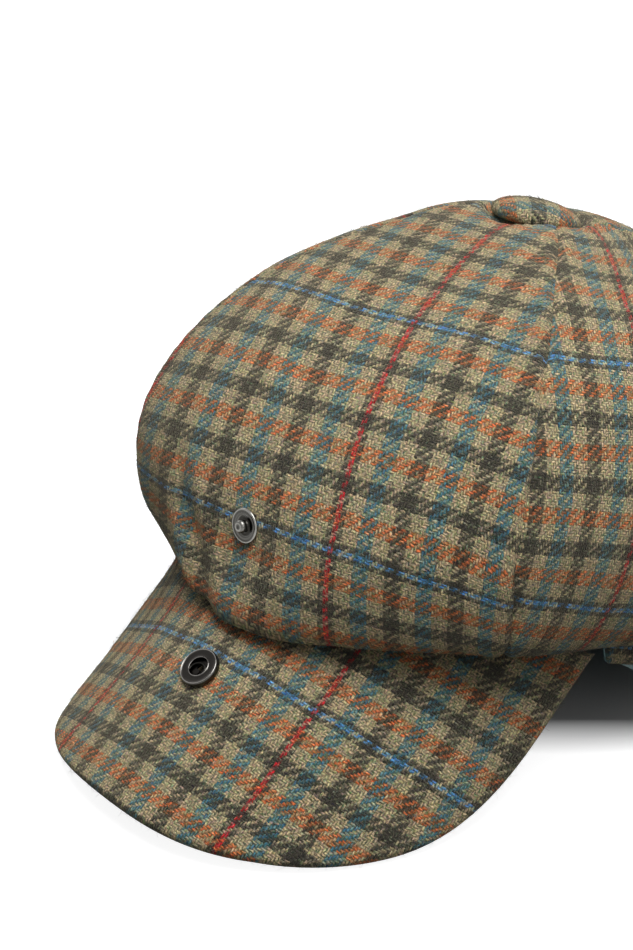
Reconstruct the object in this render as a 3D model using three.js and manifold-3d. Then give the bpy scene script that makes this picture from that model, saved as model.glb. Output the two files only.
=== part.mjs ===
// Newsboy cap in check tweed, standing on a table with its peak unsnapped.
// Sizes are millimetres. Front is -Y, the wearer's left is +X, up is +Z.
import * as THREE from "three";
import Module from "manifold-3d";
import { mergeVertices } from "three/addons/utils/BufferGeometryUtils.js";

const wasm = await Module();
wasm.setup();

// Head opening, measured inside the sweatband
const headLength = 195;
const headWidth = 167;

// Cloth, board and the room between pieces that touch
const tweedThickness = 1.8;
const liningThickness = 0.8;
const sweatbandThickness = 1.2;
const boardThickness = 2;
const contactGap = 0.3;
const seamGap = 0.4;
const patchThickness = 0.6;

// Headband and sweatband
const bandHeight = 24;
const sweatbandDrop = 5;
const sweatbandDropFrom = THREE.MathUtils.degToRad(70);
const sweatbandDropTo = THREE.MathUtils.degToRad(105);
const restFlat = 0.5;
const bandRoom = 0.6;

// Crown: how far it hangs out over the head opening, and where its seams turn the corners
const overhangFront = 28.5;
const overhangSide = 18.5;
const overhangBack = 21.5;
const seamInside = 3.5;
const seamBehindFront = 20.5;
const seamAheadOfBack = 3.5;
const crownShift = 16;
const crownHeight = 112;
const widestFront = 14;
const widestSide = 34;
const widestBack = 38;
const rollLowFront = -13.5;
const rollLowSide = 4;
const rollLowBack = 6;
const rollReachFront = 11;
const rollReachSide = 10;
const rollReachBack = 13;
const frontDomePower = 1.47;
const sideDomePower = 2.15;
const backDomePower = 2.1;
const crownHole = 3;
const dentDepth = 8;
const dentWidth = 40;
const dentFromShare = 0.5;

// Peak
const peakProjection = 89.5;
const peakEndWidth = 9;
const peakHalfAngle = THREE.MathUtils.degToRad(64);
const peakSlope = THREE.MathUtils.degToRad(54);
const peakOutlinePower = 4;
const peakBow = 2;
const peakCloth = 1.4;
const peakSwing = THREE.MathUtils.degToRad(3.5);
const peakHingeBehind = 13.5;
const boardInset = 4;
const peakRim = 2.5;
const boardEndShare = 0.06;

// Covered button
const buttonRadius = 14.5;
const buttonDome = 8;
const buttonEdge = 2.6;
const buttonCloth = 1.4;
const buttonLipRadius = 10.5;
const buttonShellWall = 1;
const shankRadius = 1.6;
const tieRadius = 3.6;
const tieHeight = 1.2;

// Snap fastener
const studRadius = 5.5;
const studFlange = 1.2;
const studLip = 0.5;
const studDish = 0.5;
const studNeckRadius = 1.9;
const studBallRadius = 2.3;
const studBallHeight = 3;
const studHeight = 14;
const socketRadius = 6.3;
const socketHeight = 2.3;
const socketLip = 0.7;
const socketRecess = 3.6;
const socketFloor = 0.7;
const socketAlong = 40;
const postRadius = 0.9;
const postTip = 0.5;
const postCapRadius = 4.8;
const postCapThickness = 0.9;
const capRoom = 1.3;
const springWireRadius = 0.35;
const springOpening = THREE.MathUtils.degToRad(50);
const patchSide = 16;
const patchRoom = 0.9;
const liningRoom = 1.5;

// How finely the surfaces are divided
const panelColumns = 12;
const domeRows = 9;
const rollRows = 4;
const returnRows = 3;
const patchSteps = 4;
const ringSteps = 56;
const peakColumns = 26;
const peakRows = 7;
const roundSteps = 24;
const smallSteps = 16;
const curveSteps = 6;
const wireSides = 6;
const rimRows = 2;
const halvings = 40;
const probeShare = 1e-3;
const edgeShare = 0.01;

// A direction round the cap, from the front towards the wearer's left
function outward(angle) {
  return new THREE.Vector3(Math.sin(angle), -Math.cos(angle), 0);
}

function oval(angle, front, side, back) {
  const along = Math.cos(angle) > 0 ? front : back;
  return 1 / Math.hypot(Math.sin(angle) / side, Math.cos(angle) / along);
}

// Eases a height from its front value to its side and back values
function eased(angle, front, side, back) {
  const end = Math.cos(angle) > 0 ? front : back;
  return side + (end - side) * Math.cos(angle) ** 2;
}

// Radius of the arc through a panel's middle and its two seams
function panelRadius(turn, middle, seamAhead, seamAside) {
  const rise = middle - seamAhead;
  const arc = (seamAside ** 2 + rise ** 2) / (2 * rise);
  const centre = middle - arc;
  return centre * Math.cos(turn) + Math.sqrt(arc ** 2 - (centre * Math.sin(turn)) ** 2);
}

const quarterTurn = Math.PI / 2;
const headFront = headLength / 2;
const headSide = headWidth / 2;
const crownFront = headFront + overhangFront - crownShift;
const crownSide = headSide + overhangSide;
const crownBack = headFront + overhangBack + crownShift;
const seamAcross = headSide - seamInside;
const seamFrontAlong = headFront - seamBehindFront;
const seamBackAlong = headFront - seamAheadOfBack;
const frontSeam = Math.atan2(seamAcross, seamFrontAlong);
const backSeam = Math.PI - Math.atan2(seamAcross, seamBackAlong);

function crownRadius(angle) {
  const turn = Math.atan2(Math.sin(angle), Math.cos(angle));
  const size = Math.abs(turn);
  if (size <= frontSeam) return panelRadius(turn, crownFront, seamFrontAlong, seamAcross);
  if (size >= backSeam) return panelRadius(Math.PI - size, crownBack, seamBackAlong, seamAcross);
  const along = size < quarterTurn ? seamFrontAlong : seamBackAlong;
  return panelRadius(size - quarterTurn, crownSide, seamAcross, along);
}

// Ovals of the band, from the head outwards
function headOval(angle, outside) {
  return oval(angle, headFront + outside, headSide + outside, headFront + outside);
}

const bandInside = sweatbandThickness + contactGap;
const bandOutside = bandInside + tweedThickness;

function widestHeight(angle) {
  return eased(angle, widestFront, widestSide, widestBack);
}

function rollHeight(angle) {
  return eased(angle, rollLowFront, rollLowSide, rollLowBack);
}

const liningOuter = tweedThickness + patchRoom + patchThickness + 2 * capRoom + postCapThickness;
const liningInner = liningOuter + liningThickness;

function rollReach(angle) {
  return eased(angle, rollReachFront, rollReachSide, rollReachBack);
}

// Hollow in the front panel round the snap
function dent(angle) {
  const aside = Math.atan2(Math.sin(angle), Math.cos(angle)) * crownFront;
  return dentDepth * Math.exp(-((aside / dentWidth) ** 2));
}

// A point of the crown at a reach from its own middle, which sits ahead of the head's
function fromMiddle(angle, reach, height) {
  return outward(angle).multiplyScalar(reach).add(new THREE.Vector3(0, -crownShift, height));
}

function bandPoint(angle, outside, height) {
  return outward(angle).multiplyScalar(headOval(angle, outside)).setZ(height);
}

// Upper part of the crown: share 0 at the button, 1 at the widest line
function domePoint(angle, share, inset) {
  const turn = share * quarterTurn;
  const power = 2 / eased(angle, frontDomePower, sideDomePower, backDomePower);
  const hollow = dent(angle) * THREE.MathUtils.smoothstep(share, dentFromShare, 1);
  const open = THREE.MathUtils.lerp(crownHole, crownRadius(angle) - inset, Math.sin(turn) ** power);
  const rise = crownHeight - inset - widestHeight(angle);
  return fromMiddle(angle, open - hollow, widestHeight(angle) + rise * Math.cos(turn) ** power);
}

// The fold under the widest line
function rollPoint(angle, share, inset) {
  const turn = share * quarterTurn;
  const low = rollHeight(angle) + inset;
  const across = rollReach(angle);
  const reach = crownRadius(angle) - across + (across - inset - dent(angle)) * Math.cos(turn);
  return fromMiddle(angle, reach, low + (widestHeight(angle) - low) * (1 - Math.sin(turn)));
}

// From the fold back up beside the band
function returnPoint(angle, share, inset) {
  const turn = share * quarterTurn;
  const low = rollHeight(angle) + inset;
  const height = low + (bandHeight - low) * (1 - Math.cos(turn));
  const inner = bandPoint(angle, bandOutside + bandRoom + inset, height);
  const outer = fromMiddle(angle, crownRadius(angle) - rollReach(angle), height);
  return inner.lerp(outer, 1 - Math.sin(turn));
}

// From the widest line in over the top of the band
function shoulderPoint(angle, share, inset) {
  const turn = share * quarterTurn;
  const low = bandHeight + liningRoom + inset - liningOuter;
  const height = low + (widestHeight(angle) - low) * (1 - Math.sin(turn));
  const inner = bandPoint(angle, 0, height);
  const outer = fromMiddle(angle, crownRadius(angle) - inset - dent(angle), height);
  return inner.lerp(outer, Math.cos(turn));
}

// A closed sheet between two faces, each a function of column and row shares
function sheet(columns, rows, front, back) {
  const points = [];
  for (const face of [front, back]) {
    for (const row of rows) {
      for (let column = 0; column <= columns; column += 1) {
        points.push(...face(column / columns, row).toArray());
      }
    }
  }
  const width = columns + 1;
  const depth = rows.length;
  const at = (side, row, column) => (side * depth + row) * width + column;
  const faces = [];
  const quad = (a, b, c, d) => faces.push(a, b, c, a, c, d);
  for (let row = 0; row < depth - 1; row += 1) {
    for (let column = 0; column < columns; column += 1) {
      const next = column + 1;
      quad(at(0, row, column), at(0, row + 1, column), at(0, row + 1, next), at(0, row, next));
      quad(at(1, row, column), at(1, row, next), at(1, row + 1, next), at(1, row + 1, column));
    }
    quad(at(0, row, 0), at(1, row, 0), at(1, row + 1, 0), at(0, row + 1, 0));
    quad(at(0, row, columns), at(0, row + 1, columns), at(1, row + 1, columns), at(1, row, columns));
  }
  for (let column = 0; column < columns; column += 1) {
    const next = column + 1;
    const last = depth - 1;
    quad(at(0, 0, column), at(0, 0, next), at(1, 0, next), at(1, 0, column));
    quad(at(0, last, column), at(1, last, column), at(1, last, next), at(0, last, next));
  }
  const geometry = new THREE.BufferGeometry();
  geometry.setAttribute("position", new THREE.Float32BufferAttribute(points, 3));
  geometry.setIndex(faces);
  return geometry;
}

// A closed ring whose section runs through the given corners at each angle
function ring(steps, corners) {
  const points = [];
  const faces = [];
  const sides = corners(0).length;
  for (let step = 0; step < steps; step += 1) {
    const angle = (step / steps) * 2 * Math.PI;
    for (const corner of corners(angle)) points.push(...corner.toArray());
    const next = (step + 1) % steps;
    for (let side = 0; side < sides; side += 1) {
      const after = (side + 1) % sides;
      const a = step * sides + side;
      const b = next * sides + side;
      const c = next * sides + after;
      const d = step * sides + after;
      faces.push(a, b, c, a, c, d);
    }
  }
  const geometry = new THREE.BufferGeometry();
  geometry.setAttribute("position", new THREE.Float32BufferAttribute(points, 3));
  geometry.setIndex(faces);
  return geometry;
}

// Joins and cuts
function toSolid(geometry) {
  const bare = geometry.clone();
  bare.deleteAttribute("normal");
  bare.deleteAttribute("uv");
  const merged = mergeVertices(bare);
  return new wasm.Manifold(new wasm.Mesh({
    numProp: 3,
    vertProperties: new Float32Array(merged.attributes.position.array),
    triVerts: new Uint32Array(merged.index.array),
  }));
}

function toGeometry(solid) {
  const mesh = solid.getMesh();
  const geometry = new THREE.BufferGeometry();
  geometry.setAttribute("position", new THREE.Float32BufferAttribute(mesh.vertProperties, 3));
  geometry.setIndex(Array.from(mesh.triVerts));
  return geometry;
}

function cut(geometry, tool) {
  return toGeometry(toSolid(geometry).subtract(toSolid(tool)));
}

// Round pieces: a profile of [radius, height] pairs turned about Z
function turned(profile, steps) {
  const points = profile.map(([radius, height]) => new THREE.Vector2(radius, height));
  return new THREE.LatheGeometry(points, steps).rotateX(quarterTurn);
}

// Moves a piece made about Z onto a place and along an outward direction
function seated(geometry, place) {
  const turn = new THREE.Quaternion().setFromUnitVectors(new THREE.Vector3(0, 0, 1), place.normal);
  return geometry.clone().applyQuaternion(turn).translate(...place.point.toArray());
}

// The point and outward normal of a surface given by two shares
function placeOn(surface, first, second) {
  const point = surface(first, second);
  const along = surface(first + probeShare, second).sub(point);
  const across = surface(first, second + probeShare).sub(point);
  return { point, normal: along.cross(across).normalize() };
}

function shares(count, from, to) {
  return Array.from({ length: count + 1 }, (_, index) => from + ((to - from) * index) / count);
}

// Peak, as a middle surface given by a share across it and a share out from the band
const peakStack = 2 * peakCloth + boardThickness + 2 * contactGap;
const peakEdge = peakCloth / 2 + contactGap / 2;

function peakWidth(across) {
  const ease = (1 - Math.abs(2 * across - 1) ** peakOutlinePower) ** (1 / peakOutlinePower);
  return peakEndWidth + (peakProjection - peakEndWidth) * ease;
}

// The top of the peak's root runs under the middle of the headband, with room to swing
function peakRoot(across, run) {
  const angle = (2 * across - 1) * peakHalfAngle;
  const edge = (share) => {
    const turn = angle + share * peakHalfAngle;
    return outward(turn).multiplyScalar(headOval(turn, bandInside + tweedThickness / 2));
  };
  const root = edge(0);
  const normal = root.clone().sub(edge(probeShare)).cross(run).normalize();
  root.z = -bandRoom - Math.abs(headFront - peakHingeBehind + root.y) * Math.tan(peakSwing);
  return root.addScaledVector(normal, -peakStack / 2);
}

function peakMiddle(across, out) {
  const run = new THREE.Vector3(0, -Math.cos(peakSlope), -Math.sin(peakSlope));
  const root = peakRoot(across, run);
  const bow = new THREE.Vector3(0, -Math.sin(peakSlope), Math.cos(peakSlope));
  const width = peakWidth(across);
  const arch = peakBow * 4 * out * (1 - out) * width / peakProjection;
  return root.addScaledVector(run, width * out).addScaledVector(bow, arch);
}

// Rows run 0 to 1 up to the rim and 1 to 2 across the rim
function peakOut(across, row) {
  const rim = peakRim / peakWidth(across);
  return row <= 1 ? row * (1 - rim) : 1 - rim + (row - 1) * rim;
}

function peakFace(offset) {
  return (across, row) => {
    const out = peakOut(across, row);
    const near = [across, out].map((share) => THREE.MathUtils.clamp(share, edgeShare, 1 - edgeShare));
    const { normal } = placeOn(peakMiddle, ...near);
    return peakMiddle(across, out).addScaledVector(normal, -offset(row));
  };
}

function coverOuter(row) {
  if (row <= 1) return peakStack / 2;
  return THREE.MathUtils.lerp(peakStack / 2, peakEdge, (row - 1) ** 2);
}

function coverInner(row) {
  return row <= 1 ? boardThickness / 2 + contactGap : contactGap / 2;
}

const flipped = (offset) => (row) => -offset(row);

// Closer columns towards the ends, where the outline turns in
function closer(share) {
  return (1 - Math.cos(Math.PI * share)) / 2;
}

function peakSheet(upper, lower) {
  const rows = [...shares(peakRows, 0, 1), ...shares(rimRows, 1, 2).slice(1)];
  const face = (offset) => (column, row) => peakFace(offset)(closer(column), row);
  return sheet(peakColumns, rows, face(upper), face(lower));
}

function peakBoard() {
  const face = (side) => (column, row) => {
    const across = boardEndShare + (1 - 2 * boardEndShare) * closer(column);
    const out = THREE.MathUtils.lerp(boardInset, peakWidth(across) - boardInset, row) / peakWidth(across);
    const { normal } = placeOn(peakMiddle, across, out);
    return peakMiddle(across, out).addScaledVector(normal, -side * boardThickness / 2);
  };
  return sheet(peakColumns, shares(peakRows, 0, 1), face(1), face(-1));
}

const socketPlace = placeOn(peakMiddle, 1 / 2, socketAlong / peakProjection);
socketPlace.normal.negate();

// Colours of the real pieces
const tweed = { color: 0x9a8a63, roughness: 0.95, metalness: 0 };
const satin = { color: 0x2f7f86, roughness: 0.5, metalness: 0 };
const card = { color: 0xd9d2c2, roughness: 0.9, metalness: 0 };
const gunmetal = { color: 0x4c4d50, roughness: 0.35, metalness: 1 };
const steel = { color: 0xb5b6b4, roughness: 0.3, metalness: 1 };
const thread = { color: 0x3b3a35, roughness: 0.8, metalness: 0 };

const cap = new THREE.Group();

function add(name, geometry, finish) {
  const mesh = new THREE.Mesh(geometry, new THREE.MeshStandardMaterial(finish));
  mesh.name = name;
  cap.add(mesh);
}

// Crown and lining skins: rows run 0 to 1 on the dome, then one unit for each part below it
function crownSkin(angle, row, inset) {
  if (row <= 1) return domePoint(angle, row, inset);
  if (row <= 2) return rollPoint(angle, row - 1, inset);
  return returnPoint(angle, row - 2, inset);
}

function liningSkin(angle, row, inset) {
  return row <= 1 ? domePoint(angle, row, inset) : shoulderPoint(angle, row - 1, inset);
}

const domeShares = shares(domeRows, 0, 1);
const crownRows = [
  ...domeShares,
  ...shares(rollRows, 1, 2).slice(1),
  ...shares(returnRows, 2, 3).slice(1),
];
const liningRows = [...domeShares, ...shares(rollRows, 1, 2).slice(1)];

function panel(from, to, rows, skin, outer, inner) {
  const face = (inset) => (column, row) => {
    const edge = skin(from, row, inset);
    const room = seamGap / 2 / Math.hypot(edge.x, edge.y + crownShift);
    return skin(from + room + (to - from - 2 * room) * column, row, inset);
  };
  return sheet(panelColumns, rows, face(outer), face(inner));
}

// Snap half on the crown: its row is found from its height
function rowAtHeight(height) {
  let low = 0;
  let high = 2;
  for (let halving = 0; halving < halvings; halving += 1) {
    const middle = (low + high) / 2;
    if (crownSkin(0, middle, 0).z > height) low = middle;
    else high = middle;
  }
  return low;
}

const studRow = rowAtHeight(studHeight);
const studPlace = placeOn((row, angle) => crownSkin(angle, row, 0), studRow, 0);

function hole(place) {
  const length = 4 * (peakStack + tweedThickness);
  const radius = postRadius + contactGap;
  const drill = new THREE.CylinderGeometry(radius, radius, length, smallSteps);
  return seated(drill.rotateX(quarterTurn), place);
}

const panels = [
  ["front", -frontSeam, frontSeam],
  ["left", frontSeam, backSeam],
  ["back", backSeam, 2 * Math.PI - backSeam],
  ["right", 2 * Math.PI - backSeam, 2 * Math.PI - frontSeam],
];
for (const [side, from, to] of panels) {
  const outer = panel(from, to, crownRows, crownSkin, 0, tweedThickness);
  const lining = panel(from, to, liningRows, liningSkin, liningOuter, liningInner);
  add(`crown_panel_${side}`, side === "front" ? cut(outer, hole(studPlace)) : outer, tweed);
  add(`lining_panel_${side}`, lining, satin);
}

// Square patch of cloth that backs the snap inside the crown
function patchFace(inset) {
  const turn = patchSide / 2 / Math.abs(studPlace.point.y + crownShift);
  return (column, share) => {
    const row = rowAtHeight(studHeight + patchSide / 2 - share * patchSide);
    return crownSkin((2 * column - 1) * turn, row, inset);
  };
}

const patchOuter = tweedThickness + patchRoom;
const patchInner = patchOuter + patchThickness;
const patch = sheet(patchSteps, shares(patchSteps, 0, 1), patchFace(patchOuter), patchFace(patchInner));
add("crown_snap_patch", cut(patch, hole(studPlace)), tweed);

const studBore = postRadius + contactGap;
const studBoreTop = studBallHeight - studLip;
const ballMiddle = studBallHeight - studBallRadius / 2;
const stud = turned([
  [0, studBoreTop], [studBore, studBoreTop], [studBore, 0], [studRadius, 0],
  [studRadius, studFlange - studLip], [studRadius - studLip, studFlange],
  [studNeckRadius + 2 * studDish, studFlange], [studNeckRadius, studFlange - studDish],
  [studNeckRadius, ballMiddle - studDish], [studBallRadius, ballMiddle],
  [studNeckRadius, studBallHeight - studDish / 2], [studNeckRadius / 2, studBallHeight],
  [0, studBallHeight],
], roundSteps);
add("crown_snap_stud", seated(stud.translate(0, 0, contactGap), studPlace), steel);

function post(length) {
  return turned([
    [0, -postCapThickness], [postCapRadius, -postCapThickness], [postCapRadius, 0],
    [postRadius, 0], [postRadius, length], [0, length],
  ], roundSteps);
}

// Deepest point of the patch under the washer, measured along the post
function patchDepth() {
  const spans = shares(patchSteps, 0, 1);
  const points = spans.flatMap((column) => spans.map((share) => patchFace(patchInner)(column, share)));
  return Math.max(...points.map((point) => studPlace.point.clone().sub(point).dot(studPlace.normal)));
}

const crownPostBase = patchDepth() + contactGap;
const crownPost = post(crownPostBase + studBoreTop).translate(0, 0, -crownPostBase);
add("crown_snap_post", seated(crownPost, studPlace), gunmetal);

// Headband and sweatband
add("headband", ring(ringSteps, (angle) => {
  const inner = outward(angle).multiplyScalar(headOval(angle, bandInside));
  const outer = outward(angle).multiplyScalar(headOval(angle, bandOutside));
  return [inner, outer, outer.clone().setZ(bandHeight), inner.clone().setZ(bandHeight)];
}), tweed);

const restBack = headFront + sweatbandThickness;
const restHeight = restFlat - sweatbandDrop;

const edgeTilts = shares(peakColumns, 0, 1).map(closer).map((across) => {
  const edge = [-1, 1].map((side) => peakFace(() => side * peakEdge)(across, 2));
  return Math.max(...edge.map((point) => Math.atan2(restHeight - point.z, restBack - point.y)));
});
const tilt = Math.max(...edgeTilts);

function sweatbandLow(point) {
  const angle = Math.abs(Math.atan2(point.x, -point.y));
  const fall = THREE.MathUtils.smoothstep(angle, sweatbandDropFrom, sweatbandDropTo);
  const floor = restHeight - Math.tan(tilt) * (restBack - point.y);
  return Math.max(-sweatbandDrop * fall, floor);
}

add("sweatband", ring(ringSteps, (angle) => {
  const inner = outward(angle).multiplyScalar(headOval(angle, 0));
  const outer = outward(angle).multiplyScalar(headOval(angle, sweatbandThickness));
  const tops = [outer.clone().setZ(bandHeight), inner.clone().setZ(bandHeight)];
  return [inner.setZ(sweatbandLow(inner)), outer.setZ(sweatbandLow(outer)), ...tops];
}), satin);

// Peak: two cloth covers with a board between them
add("peak_top_cover", cut(peakSheet(coverOuter, coverInner), hole(socketPlace)), tweed);
add("peak_under_cover", cut(peakSheet(flipped(coverInner), flipped(coverOuter)), hole(socketPlace)), tweed);
add("peak_board", cut(peakBoard(), hole(socketPlace)), card);

const socketBore = postRadius + contactGap;
const socket = turned([
  [socketBore, 0], [socketRadius, 0], [socketRadius, socketHeight - socketLip],
  [socketRadius - socketLip, socketHeight], [socketRecess + socketLip, socketHeight],
  [socketRecess, socketHeight - socketLip], [socketRecess, socketFloor],
  [socketBore, socketFloor], [socketBore, 0],
], roundSteps);
const socketSeat = peakStack / 2 + contactGap;
add("peak_snap_socket", seated(socket.translate(0, 0, socketSeat), socketPlace), gunmetal);

const peakPostBase = peakStack / 2 + capRoom;
const peakPost = post(peakPostBase + socketSeat + socketFloor + postTip);
add("peak_snap_post", seated(peakPost.translate(0, 0, -peakPostBase), socketPlace), gunmetal);

class SpringPath extends THREE.Curve {
  getPoint(share) {
    const radius = socketRecess - springWireRadius - contactGap;
    const turn = springOpening / 2 + share * (2 * Math.PI - springOpening);
    return new THREE.Vector3(radius * Math.cos(turn), radius * Math.sin(turn), 0);
  }
}

const wire = new THREE.Shape(shares(wireSides, 0, 1).slice(1).map((share) => new THREE.Vector2(
  springWireRadius * Math.cos(2 * Math.PI * share), springWireRadius * Math.sin(2 * Math.PI * share))));
const spring = new THREE.ExtrudeGeometry(wire, { steps: roundSteps, extrudePath: new SpringPath() });
const springHeight = socketSeat + socketFloor + contactGap + springWireRadius;
add("peak_snap_spring", seated(spring.translate(0, 0, springHeight), socketPlace), steel);

// Covered button on top of the crown
const buttonPlace = {
  point: fromMiddle(0, 0, crownHeight + contactGap),
  normal: new THREE.Vector3(0, 0, 1),
};

function arc(radius, rise, base) {
  return shares(curveSteps, 1, 0).map((share) => {
    const turn = share * quarterTurn;
    return [radius * Math.cos(turn), base + rise * Math.sin(turn)];
  });
}

function lip(inset) {
  const radius = buttonEdge - inset;
  return shares(curveSteps, 0, 1).map((share) => {
    const turn = share * quarterTurn;
    const centre = buttonRadius - buttonEdge;
    return [centre + radius * Math.cos(turn), buttonEdge - radius * Math.sin(turn)];
  });
}

const buttonCover = turned([
  ...arc(buttonRadius - buttonCloth, buttonDome - buttonEdge - buttonCloth, buttonEdge),
  ...lip(buttonCloth).slice(1),
  [buttonLipRadius, buttonCloth], [buttonLipRadius, 0],
  ...lip(0).reverse(),
  ...arc(buttonRadius, buttonDome - buttonEdge, buttonEdge).reverse().slice(1),
], roundSteps);
add("button_cover", seated(buttonCover, buttonPlace), tweed);

const shellRadius = buttonRadius - buttonCloth - contactGap;
const shellDome = buttonDome - buttonEdge - buttonCloth - contactGap;
const buttonShell = turned([
  ...arc(shellRadius - buttonShellWall, shellDome - buttonShellWall, buttonEdge),
  ...arc(shellRadius, shellDome, buttonEdge).reverse(),
], roundSteps);
add("button_shell", seated(buttonShell, buttonPlace), steel);

const backRadius = buttonLipRadius - contactGap;
const tieTop = -contactGap - tweedThickness - contactGap;
const shankEnd = tieTop - tieHeight;
const buttonBack = turned([
  [0, shankEnd], [shankRadius, shankEnd], [shankRadius, 0], [backRadius, 0],
  [backRadius, buttonCloth], [0, buttonCloth],
], roundSteps);
add("button_back", seated(buttonBack, buttonPlace), steel);

const tieHole = shankRadius + contactGap;
const buttonTie = turned([
  [tieHole, tieTop - tieHeight], [tieRadius, tieTop - tieHeight], [tieRadius, tieTop],
  [tieHole, tieTop], [tieHole, tieTop - tieHeight],
], roundSteps);
add("button_tie", seated(buttonTie, buttonPlace), thread);

// Stands the cap on its sweatband and its peak, centred over its footprint
cap.rotation.x = -tilt;
const part = new THREE.Group();
part.add(cap);
const stance = new THREE.Box3().setFromObject(part, true);
cap.position.set(0, -(stance.min.y + stance.max.y) / 2, -stance.min.z);

export default part;
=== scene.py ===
import math
import bpy
import numpy as np
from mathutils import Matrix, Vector, noise


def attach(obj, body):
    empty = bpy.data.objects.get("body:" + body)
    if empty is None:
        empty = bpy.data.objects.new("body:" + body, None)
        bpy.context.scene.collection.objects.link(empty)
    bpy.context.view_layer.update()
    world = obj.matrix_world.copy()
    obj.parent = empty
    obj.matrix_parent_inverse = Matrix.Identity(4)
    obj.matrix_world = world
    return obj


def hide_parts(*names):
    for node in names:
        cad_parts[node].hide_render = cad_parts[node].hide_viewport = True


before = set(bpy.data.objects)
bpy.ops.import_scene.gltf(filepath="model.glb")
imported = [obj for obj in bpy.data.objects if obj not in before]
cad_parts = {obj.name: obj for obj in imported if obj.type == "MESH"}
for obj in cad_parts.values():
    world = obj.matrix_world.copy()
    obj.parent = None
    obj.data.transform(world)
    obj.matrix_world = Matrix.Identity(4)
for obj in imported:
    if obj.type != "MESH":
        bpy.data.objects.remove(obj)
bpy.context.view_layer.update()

# Lengths below are millimetres in the cap's own frame: the band's edge at height 0, the front towards -Y
mm = 0.001
lean = {"angle": math.radians(17.548), "place": (0.0, 19.682, 34.049)}  # how the cap stands on the table
head = {"length": 195.0, "width": 167.0, "sweatCloth": 1.2, "sweatGap": 0.3}  # opening and sweatband


def toRow(points):
    c, s = math.cos(lean["angle"]), math.sin(lean["angle"])
    x, y, z = points[..., 0], points[..., 1], points[..., 2]
    return (np.stack([x, y * c + z * s, -y * s + z * c], -1) + np.array(lean["place"])) * mm


def smooth(x, a, b):
    t = np.clip((x - a) / (b - a), 0, 1)
    return t * t * (3 - 2 * t)


def unit(vectors):
    return vectors / np.linalg.norm(vectors, axis=-1, keepdims=True)


def normalsOf(grid):
    n = np.cross(np.gradient(grid, axis=1), np.gradient(grid, axis=0))
    return n / (np.linalg.norm(n, axis=-1, keepdims=True) + 1e-12)


# An angle as a turn to either side of the front
def turnOf(a):
    return np.arctan2(np.sin(a), np.cos(a))


# The share of a row within its own stretch, as an angle up to 90 degrees
def quarter(row, start):
    return np.clip(row - start, 0, 1) * math.pi / 2


def noiseAt(points, size, seed=0.0):
    flat = (points / size + seed).reshape(-1, 3)
    return np.array([noise.noise(Vector(p)) for p in flat]).reshape(points.shape[:-1])


def lengthAlong(grid, axis):
    steps = np.linalg.norm(np.diff(grid, axis=axis), axis=-1)
    zero = np.zeros_like(np.take(steps, [0], axis=axis))
    return np.concatenate([zero, np.cumsum(steps, axis=axis)], axis=axis)


# A closed body between two grids of points, with the cloth's coordinates in mm on its corners
def shell(name, outer, inner, cloth, material, wrap=False, sharp=60):
    na, nb = outer.shape[:2]
    cols = na if wrap else na - 1
    a, b = [g.ravel() for g in np.meshgrid(np.arange(cols), np.arange(nb - 1), indexing="ij")]
    zero, one = np.zeros_like(a), np.ones_like(a)
    parts = [
        [(zero, a, b), (zero, a, b + 1), (zero, a + 1, b + 1), (zero, a + 1, b)],
        [(one, a, b), (one, a + 1, b), (one, a + 1, b + 1), (one, a, b + 1)],
    ]
    c = np.arange(cols)
    for row, turn in ((0, 1), (nb - 1, -1)):
        o, n, r = 0 * c, 0 * c + 1, 0 * c + row
        parts.append([(o, c, r), (o, c + 1, r), (n, c + 1, r), (n, c, r)][::turn])
    if not wrap:
        r = np.arange(nb - 1)
        for col, turn in ((0, -1), (na - 1, 1)):
            o, n, k = 0 * r, 0 * r + 1, 0 * r + col
            parts.append([(o, k, r), (o, k, r + 1), (n, k, r + 1), (n, k, r)][::turn])
    corners = np.concatenate([np.stack([np.stack(q, -1) for q in part], 1) for part in parts])
    points = toRow(np.concatenate([outer.reshape(-1, 3), inner.reshape(-1, 3)]))
    side, col, row = corners[..., 0], corners[..., 1], corners[..., 2]
    faces = side * na * nb + (col % na) * nb + row
    tri = points[faces[:, [0, 1, 2]]]
    tri2 = points[faces[:, [0, 2, 3]]]
    volume = sum(np.einsum("ij,ij->i", t[:, 0], np.cross(t[:, 1], t[:, 2])).sum() for t in (tri, tri2))
    uv = cloth[col, row]
    if volume < 0:
        faces, uv = faces[:, ::-1], uv[:, ::-1]
    piece = makeMesh(name, points, faces.tolist(), uv.reshape(-1, 2), material, sharp)
    mark(piece, "outside", np.arange(len(points)) < na * nb)
    return piece


def mark(piece, name, values):
    piece.data.attributes.new(name, "FLOAT", "POINT").data.foreach_set("value", np.array(values, np.float32))


def addObject(name, data):
    obj = bpy.data.objects.new(name, data)
    bpy.context.scene.collection.objects.link(obj)
    return obj


def makeMesh(name, points, faces, uv, material, sharp=60):
    mesh = bpy.data.meshes.new(name)
    mesh.from_pydata(points.tolist(), [], faces)
    layer = mesh.uv_layers.new(name="cloth")
    layer.data.foreach_set("uv", np.ascontiguousarray(uv, np.float32).ravel())
    mesh.shade_smooth()
    mesh.set_sharp_from_angle(angle=math.radians(sharp))
    mesh.materials.append(material)
    return addObject(name, mesh)


def wear(obj, body, slot, *nodes):
    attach(obj, body)
    if nodes:
        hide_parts(*nodes)
    return obj


# Short ways to place nodes: a value is a number, a colour, a socket or a node, meaning its first output
def give(tree, socket, value):
    if isinstance(value, bpy.types.Node):
        value = value.outputs[0]
    if isinstance(value, bpy.types.NodeSocket):
        tree.links.new(value, socket)
    else:
        socket.default_value = value


def fill(tree, sockets, **values):
    for label, value in values.items():
        give(tree, sockets[label], value)


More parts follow.
